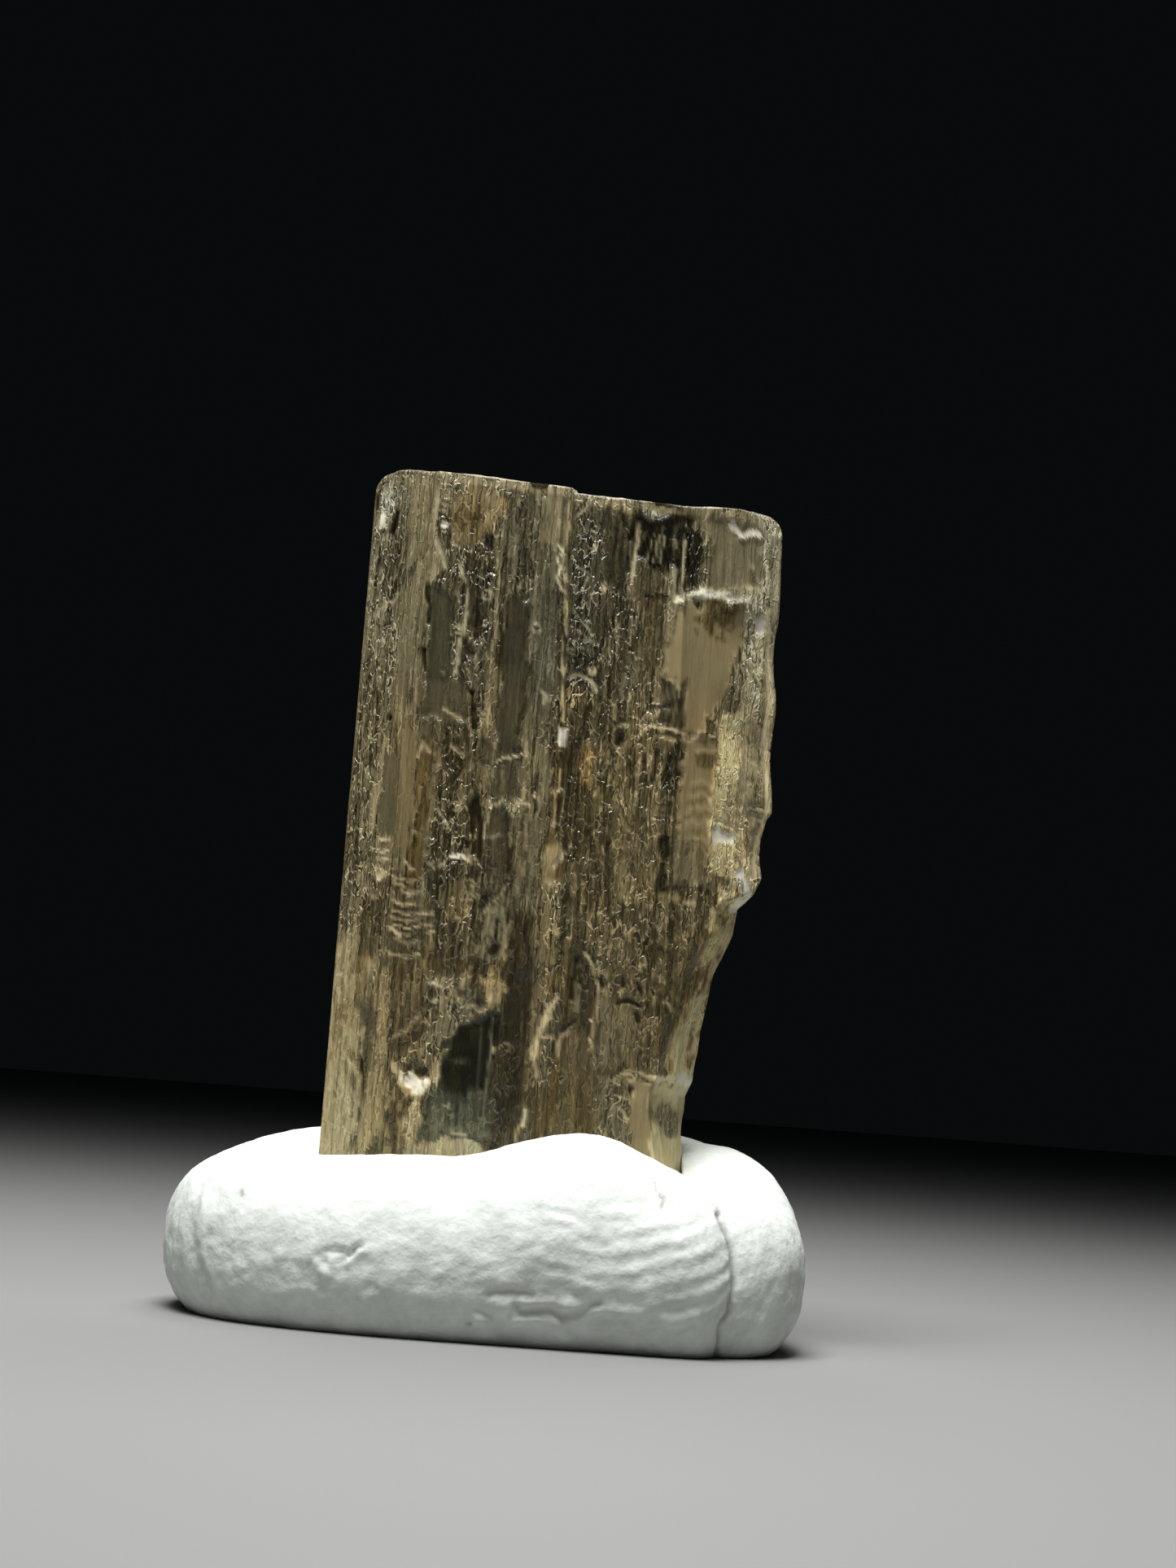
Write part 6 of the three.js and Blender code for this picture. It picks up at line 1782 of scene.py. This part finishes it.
class Nodes:
    """A node tree with short ways to add and join nodes."""

    def __init__(self, tree: bpy.types.NodeTree) -> None:
        """Starts from an empty tree."""
        self.tree = tree
        tree.nodes.clear()

    def add(self, kind: str, **settings: object) -> bpy.types.Node:
        """Adds a node and sets its own properties."""
        node = self.tree.nodes.new(kind)
        for name, value in settings.items():
            setattr(node, name, value)
        return node

    def join(self, out: bpy.types.NodeSocket, into: bpy.types.NodeSocket) -> None:
        """Links two sockets."""
        self.tree.links.new(out, into)

    def feed(self, socket: bpy.types.NodeSocket, value: object) -> None:
        """Gives a socket a plain value or a link."""
        if isinstance(value, bpy.types.NodeSocket):
            self.join(value, socket)
        else:
            socket.default_value = value

    def math(self, operation: str, *values: object) -> bpy.types.NodeSocket:
        """A Math node's result."""
        node = self.add("ShaderNodeMath", operation=operation)
        for socket, value in zip(node.inputs, values):
            self.feed(socket, value)
        return node.outputs[0]

    def attribute(self, name: str) -> bpy.types.NodeSocket:
        """The number that the mesh carries under a name."""
        return self.add("ShaderNodeAttribute", attribute_name=name).outputs["Fac"]

    def ramp(self, value: object, stops: Stops) -> bpy.types.NodeSocket:
        """A colour ramp's colour."""
        node = self.add("ShaderNodeValToRGB")
        node.color_ramp.elements[0].position = stops[0][0]
        node.color_ramp.elements[1].position = stops[-1][0]
        for position, _ in stops[1:-1]:
            node.color_ramp.elements.new(position)
        for element, (_, colour) in zip(node.color_ramp.elements, stops):
            element.color = (*colour, 1)
        self.feed(node.inputs[0], value)
        return node.outputs[0]

    def blend(self, share: object, a: object, b: object) -> bpy.types.NodeSocket:
        """A colour between a and b."""
        node = self.add("ShaderNodeMix", data_type="RGBA", blend_type="MIX")
        for socket, value in ((node.inputs[0], share), (node.inputs[6], a), (node.inputs[7], b)):
            self.feed(socket, value)
        return node.outputs[2]

    def bent(self, swell: float, reach: float) -> bpy.types.NodeSocket:
        """Object coordinates pushed about by a noise.

        Args:
            swell: the noise's size in millimetres.
            reach: how far it pushes, in millimetres.

        Returns:
            The moved coordinates.
        """
        where = self.add("ShaderNodeTexCoord").outputs["Object"]
        push = self.add("ShaderNodeTexNoise")
        push.inputs["Scale"].default_value = 1 / (swell * MM)
        push.inputs["Detail"].default_value = 1.5
        self.join(where, push.inputs["Vector"])
        centred = self.add("ShaderNodeVectorMath", operation="SUBTRACT")
        self.join(push.outputs["Color"], centred.inputs[0])
        centred.inputs[1].default_value = (0.5, 0.5, 0.5)
        scaled = self.add("ShaderNodeVectorMath", operation="SCALE")
        self.join(centred.outputs[0], scaled.inputs[0])
        scaled.inputs["Scale"].default_value = 2 * reach * MM
        moved = self.add("ShaderNodeVectorMath", operation="ADD")
        self.join(where, moved.inputs[0])
        self.join(scaled.outputs[0], moved.inputs[1])
        return moved.outputs[0]

    def noise(self, where: bpy.types.NodeSocket, swell: Swell) -> bpy.types.NodeSocket:
        """A noise from 0 to 1, read at a place."""
        mapping = self.add("ShaderNodeMapping")
        mapping.inputs["Scale"].default_value = tuple(1 / (side * MM) for side in swell.size)
        mapping.inputs["Location"].default_value = (swell.shift, 1.7 * swell.shift, 0.6 * swell.shift)
        self.join(where, mapping.inputs["Vector"])
        node = self.add("ShaderNodeTexNoise")
        node.inputs["Scale"].default_value = 1.0
        node.inputs["Detail"].default_value = swell.detail
        self.join(mapping.outputs[0], node.inputs["Vector"])
        return node.outputs["Fac"]

    def held(self, value: bpy.types.NodeSocket) -> bpy.types.NodeSocket:
        """The value held between 0 and 1."""
        node = self.add("ShaderNodeClamp")
        self.join(value, node.inputs[0])
        return node.outputs[0]

    def thread(self, fac: bpy.types.NodeSocket, thin: float, level: float = 0.5) -> bpy.types.NodeSocket:
        """Thin lines where a noise crosses a level: one less thin times the distance, squared."""
        gap = self.math("ABSOLUTE", self.math("SUBTRACT", fac, level))
        line = self.add("ShaderNodeMath", operation="MULTIPLY_ADD", use_clamp=True)
        self.join(gap, line.inputs[0])
        line.inputs[1].default_value = -thin
        line.inputs[2].default_value = 1.0
        return self.math("MULTIPLY", line.outputs[0], line.outputs[0])

    def stretched(self, fac: bpy.types.NodeSocket) -> bpy.types.NodeSocket:
        """A noise from 0 to 1 made to reach from -1.5 to 1.5."""
        return self.math("MULTIPLY_ADD", fac, 3.0, -1.5)

    def total(
        self, parts: tuple[bpy.types.NodeSocket, ...], weights: tuple[float, ...]
    ) -> bpy.types.NodeSocket:
        """The sum of parts times their weights."""
        so_far: object = 0.0
        for part, weight in zip(parts, weights):
            so_far = self.math("MULTIPLY_ADD", part, weight, so_far)
        return so_far


def linear(*srgb: float) -> Colour:
    """Display values from 0 to 255 as linear light, by the sRGB curve and its straight foot."""
    return tuple(c / 3294.6 if c <= 10.31 else ((c / 255 + 0.055) / 1.055) ** 2.4 for c in srgb)


@dataclass(frozen=True)
class ScapoliteFinish:
    """Clear to hazy smoky brown crystal.

    Each row of weights goes with the streaks, uprights, clefts, wavy lines, their shades, etching
    and ticks, in that order. The clear tint is in display values from 0 to 255; the other colours
    are linear.
    """

    ior: float = 1.56
    haze_transmission: float = 0.25
    haze_specular: float = 0.2
    clear_roughness: float = 0.12
    clear_tint: Colour = (230, 232, 212)
    # The white of frosted cracks, also used as the painted highlight of the glints.
    white_and_glint_tint: Colour = (1.0, 0.94, 0.76)
    absorption: Colour = (0.76, 0.71, 0.46)
    density: float = 220.0
    light_gain: float = 0.52
    brightest: float = 0.92
    tones: tuple[float, ...] = (0.0, 0.15, 0.3, 0.45, 0.6, 0.8, 1.0)
    tone_foot: float = 8.0
    tone_span: float = 200.0
    warm_rise_and_fall: tuple[float, float] = (0.24, 0.44)
    cool_rise_and_fall: tuple[float, float] = (0.01, 0.2)
    streaks: Swell = Swell((0.09, 0.09, 1.8), 3)
    uprights: Swell = Swell((0.17, 0.17, 2.6), 2, 3.1)
    windings: Swell = Swell((0.17, 0.17, 0.44), 1.2, 7.7)
    etching: Swell = Swell((0.05, 0.05, 0.11), 2, 1.3)
    ticks: Swell = Swell((0.06, 0.06, 0.28), 2, 5.3)
    clefts: Swell = Swell((0.27, 0.27, 4.0), 2, 9.1)
    tick_ends: tuple[float, float] = (0.52, 0.7)
    upright_thinness: float = 12.0
    wavy_thinness: float = 17.0
    shade_thinness: float = 16.0
    shade_level: float = 0.44
    cleft_thinness: float = 16.0
    haze_weights: tuple[float, ...] = (0.2, 0.3, -0.25, 0.5, -0.25, 0.2, -0.15)
    tone_weights: tuple[float, ...] = (0.04, 0.11, -0.22, 0.37, -0.34, 0.08, -0.14)
    height_weights: tuple[float, ...] = (0.3, 0.5, -1.0, 1.0, -1.0, 0.4, -0.5)
    haze_middle: float = 0.06
    bump_strength: float = 0.85
    bump_depth: float = 0.02

    def palette(self, warm: bool) -> Stops:
        """Colour by tone, cool and greyish or warm and honey-brown.

        Red is raised over green and blue lowered under it, by less in the light tones, and blue
        falls further in the darkest ones. The gain of the lights is taken off again.
        """
        rise, fall = self.warm_rise_and_fall if warm else self.cool_rise_and_fall
        stops = []
        for tone in self.tones:
            green = self.tone_foot + self.tone_span * tone
            weak = 1 - 0.35 * tone
            red = green * (1 + rise * weak)
            blue = green * (1 - fall * weak - 0.14 * (1 - tone) ** 3)
            lit = linear(red, green, blue)
            stops.append((tone, tuple(min(self.brightest, c / self.light_gain) for c in lit)))
        return stops

    def make(self) -> bpy.types.Material:
        """Builds the material: haze mixed over clear, with absorption inside."""
        material = bpy.data.materials.new("scapolite")
        material.use_nodes = True
        n = Nodes(material.node_tree)
        tone, warm, haze = n.attribute("tone"), n.attribute("warm"), n.attribute("haze")
        rough, frost_and_glint = n.attribute("rough"), n.attribute("frost_and_glint")
        life, curl = n.attribute("life"), n.attribute("curl")
        bent = n.bent(swell=0.35, reach=0.05)
        streak = n.stretched(n.noise(bent, self.streaks))
        upright = n.thread(n.noise(bent, self.uprights), self.upright_thinness)
        winding = n.noise(n.bent(swell=0.45, reach=0.16), self.windings)
        wavy = n.thread(winding, self.wavy_thinness)
        shade = n.thread(winding, self.shade_thinness, self.shade_level)
        etch = n.stretched(n.noise(bent, self.etching))
        tick = n.add("ShaderNodeMapRange", interpolation_type="SMOOTHSTEP")
        n.join(n.noise(bent, self.ticks), tick.inputs[0])
        tick.inputs[1].default_value, tick.inputs[2].default_value = self.tick_ends
        tick = n.math("MULTIPLY", tick.outputs[0], curl)
        wavy = n.math("MULTIPLY", wavy, curl)
        shade = n.math("MULTIPLY", shade, curl)
        etch = n.math("MULTIPLY", etch, curl)
        cleft = n.thread(n.noise(bent, self.clefts), self.cleft_thinness)
        parts = (streak, upright, cleft, wavy, shade, etch, tick)
        stir = n.total(parts, self.haze_weights)
        haze = n.math("MULTIPLY_ADD", life, n.math("SUBTRACT", stir, self.haze_middle), haze)
        tone = n.math("MULTIPLY_ADD", life, n.total(parts, self.tone_weights), tone)
        colour = n.blend(warm, n.ramp(tone, self.palette(False)), n.ramp(tone, self.palette(True)))
        # White is blended in where the skin is frosted, and at the glints as a painted highlight.
        colour = n.blend(frost_and_glint, colour, (*self.white_and_glint_tint, 1))
        height = n.total(parts, self.height_weights)
        bump = n.add("ShaderNodeBump")
        bump.inputs["Strength"].default_value = self.bump_strength
        bump.inputs["Distance"].default_value = self.bump_depth * MM
        n.join(n.math("MULTIPLY", height, life), bump.inputs["Height"])
        hazy = n.add("ShaderNodeBsdfPrincipled")
        n.join(colour, hazy.inputs["Base Color"])
        n.join(rough, hazy.inputs["Roughness"])
        hazy.inputs["IOR"].default_value = self.ior
        hazy.inputs["Specular IOR Level"].default_value = self.haze_specular
        hazy.inputs["Transmission Weight"].default_value = self.haze_transmission
        n.join(bump.outputs[0], hazy.inputs["Normal"])
        clear = n.add("ShaderNodeBsdfPrincipled")
        clear.inputs["Base Color"].default_value = (*linear(*self.clear_tint), 1)
        clear.inputs["Roughness"].default_value = self.clear_roughness
        clear.inputs["IOR"].default_value = self.ior
        clear.inputs["Transmission Weight"].default_value = 1.0
        n.join(bump.outputs[0], clear.inputs["Normal"])
        both = n.add("ShaderNodeMixShader")
        n.join(n.held(haze), both.inputs[0])
        n.join(clear.outputs[0], both.inputs[1])
        n.join(hazy.outputs[0], both.inputs[2])
        inside = n.add("ShaderNodeVolumeAbsorption")
        inside.inputs["Color"].default_value = (*self.absorption, 1)
        inside.inputs["Density"].default_value = self.density
        out = n.add("ShaderNodeOutputMaterial")
        n.join(both.outputs[0], out.inputs["Surface"])
        n.join(inside.outputs[0], out.inputs["Volume"])
        return material


@dataclass(frozen=True)
class PuttyFinish:
    """Matt, slightly greenish white putty, darker in its pressed-in marks: grey stains on the specks and
    painted shade in the pits and creases.
    """

    pale: Colour = (0.78, 0.83, 0.78)
    dull: Colour = (0.64, 0.68, 0.63)
    stain_and_shade_colour: Colour = (0.16, 0.15, 0.125)
    grain: Swell = Swell((0.16, 0.16, 0.16), 4)
    mottling: Swell = Swell((0.7, 0.7, 0.7), 3, 4.4)
    mottling_gain: float = 2.2
    bump_strength: float = 0.6
    bump_depth: float = 0.035
    roughness: float = 0.75

    def make(self) -> bpy.types.Material:
        """Builds the material."""
        material = bpy.data.materials.new("putty")
        material.use_nodes = True
        n = Nodes(material.node_tree)
        fine = n.noise(n.bent(swell=1.0, reach=0.1), self.grain)
        broad = n.noise(n.bent(swell=1.0, reach=0.2), self.mottling)
        share = n.math("MULTIPLY_ADD", n.math("SUBTRACT", broad, 0.5), self.mottling_gain, fine)
        colour = n.blend(n.held(share), (*self.dull, 1), (*self.pale, 1))
        # Darker by the marks: grey stains on the specks, painted shade in the creases and pits.
        colour = n.blend(n.attribute("stain_and_shade"), colour, (*self.stain_and_shade_colour, 1))
        bump = n.add("ShaderNodeBump")
        bump.inputs["Strength"].default_value = self.bump_strength
        bump.inputs["Distance"].default_value = self.bump_depth * MM
        n.join(fine, bump.inputs["Height"])
        shader = n.add("ShaderNodeBsdfPrincipled")
        n.join(colour, shader.inputs["Base Color"])
        shader.inputs["Roughness"].default_value = self.roughness
        n.join(bump.outputs[0], shader.inputs["Normal"])
        out = n.add("ShaderNodeOutputMaterial")
        n.join(shader.outputs[0], out.inputs["Surface"])
        return material


# ------------------------------------------------------------------------------------ the stage


@dataclass(frozen=True)
class Lamp:
    """A square soft light: where it stands, what it faces, how wide it is, and its watts."""

    name: str
    place: tuple[float, float, float]
    aim: tuple[float, float, float]
    size: float
    watts: float


@dataclass
class Studio:
    """The plain floor, the soft lights and the camera. Sizes in millimetres, angles in degrees."""

    focal: float = 59.78
    sensor: float = 36.0
    pitch: float = 6.94
    roll: float = 4.3
    nearest: float = 1.0
    furthest: float = 10000.0
    floor_half: float = 1500.0
    floor_colour: Colour = (0.2, 0.2, 0.196)
    floor_roughness: float = 0.7
    room_colour: Colour = (0.0025, 0.0032, 0.0035)
    lamps: tuple[Lamp, ...] = (
        Lamp("softbox", (-8, -27, 89), (0, 0, 8), 42, 0.172),
        Lamp("fill", (8, 38, 88), (0, 0, 9), 42, 0.045),
    )

    def build_floor(self) -> None:
        """A wide level pale plane."""
        h = self.floor_half * MM
        mesh = bpy.data.meshes.new("floor")
        mesh.from_pydata([(-h, -h, 0), (h, -h, 0), (h, h, 0), (-h, h, 0)], [], [(0, 1, 2, 3)])
        material = bpy.data.materials.new("pale_floor")
        material.use_nodes = True
        shader = material.node_tree.nodes["Principled BSDF"]
        shader.inputs["Base Color"].default_value = (*self.floor_colour, 1)
        shader.inputs["Roughness"].default_value = self.floor_roughness
        mesh.materials.append(material)
        floor = bpy.data.objects.new("floor", mesh)
        bpy.context.scene.collection.objects.link(floor)

    def build_light(self, lamp: Lamp) -> None:
        """A soft light, tilted off straight down and turned about the upright to face its aim."""
        light = bpy.data.lights.new(lamp.name, "AREA")
        light.size = lamp.size * MM
        light.energy = lamp.watts
        o = bpy.data.objects.new(lamp.name, light)
        way = np.array(lamp.aim) - np.array(lamp.place)
        flat = math.hypot(way[0], way[1])
        o.rotation_euler = (math.atan2(flat, -way[2]), 0, math.atan2(-way[0], way[1]))
        o.location = np.array(lamp.place) * MM
        o.visible_camera = False
        bpy.context.scene.collection.objects.link(o)

    def build_camera(self) -> None:
        """The camera, a little above the floor and looking slightly up."""
        camera = bpy.data.cameras.new("camera")
        camera.lens = self.focal
        camera.sensor_width = self.sensor
        camera.sensor_fit = "AUTO"
        camera.clip_start = self.nearest * MM
        camera.clip_end = self.furthest * MM
        o = bpy.data.objects.new("camera", camera)
        o.location = (np.array(EYE) + Placement.shift()) * MM
        tilt = math.radians(90 + self.pitch)
        turn = math.radians(self.roll)
        o.rotation_euler = (Matrix.Rotation(tilt, 3, "X") @ Matrix.Rotation(turn, 3, "Z")).to_euler()
        bpy.context.scene.collection.objects.link(o)
        bpy.context.scene.camera = o

    def build(self) -> None:
        """Builds everything that isn't part of the object."""
        self.build_floor()
        for lamp in self.lamps:
            self.build_light(lamp)
        self.build_camera()
        world = bpy.data.worlds.new("studio")
        world.use_nodes = True
        world.node_tree.nodes["Background"].inputs[0].default_value = (*self.room_colour, 1)
        bpy.context.scene.world = world
        bpy.context.scene.view_settings.view_transform = "Standard"


def main() -> None:
    """Builds the specimen and its studio."""
    logging.basicConfig(level=logging.INFO, format="%(name)s: %(message)s")
    Studio().build()
    crystal = Crystal()
    crystal.build(ScapoliteFinish().make())
    Putty().build(crystal, PuttyFinish().make())


if __name__ == "__main__":
    main()
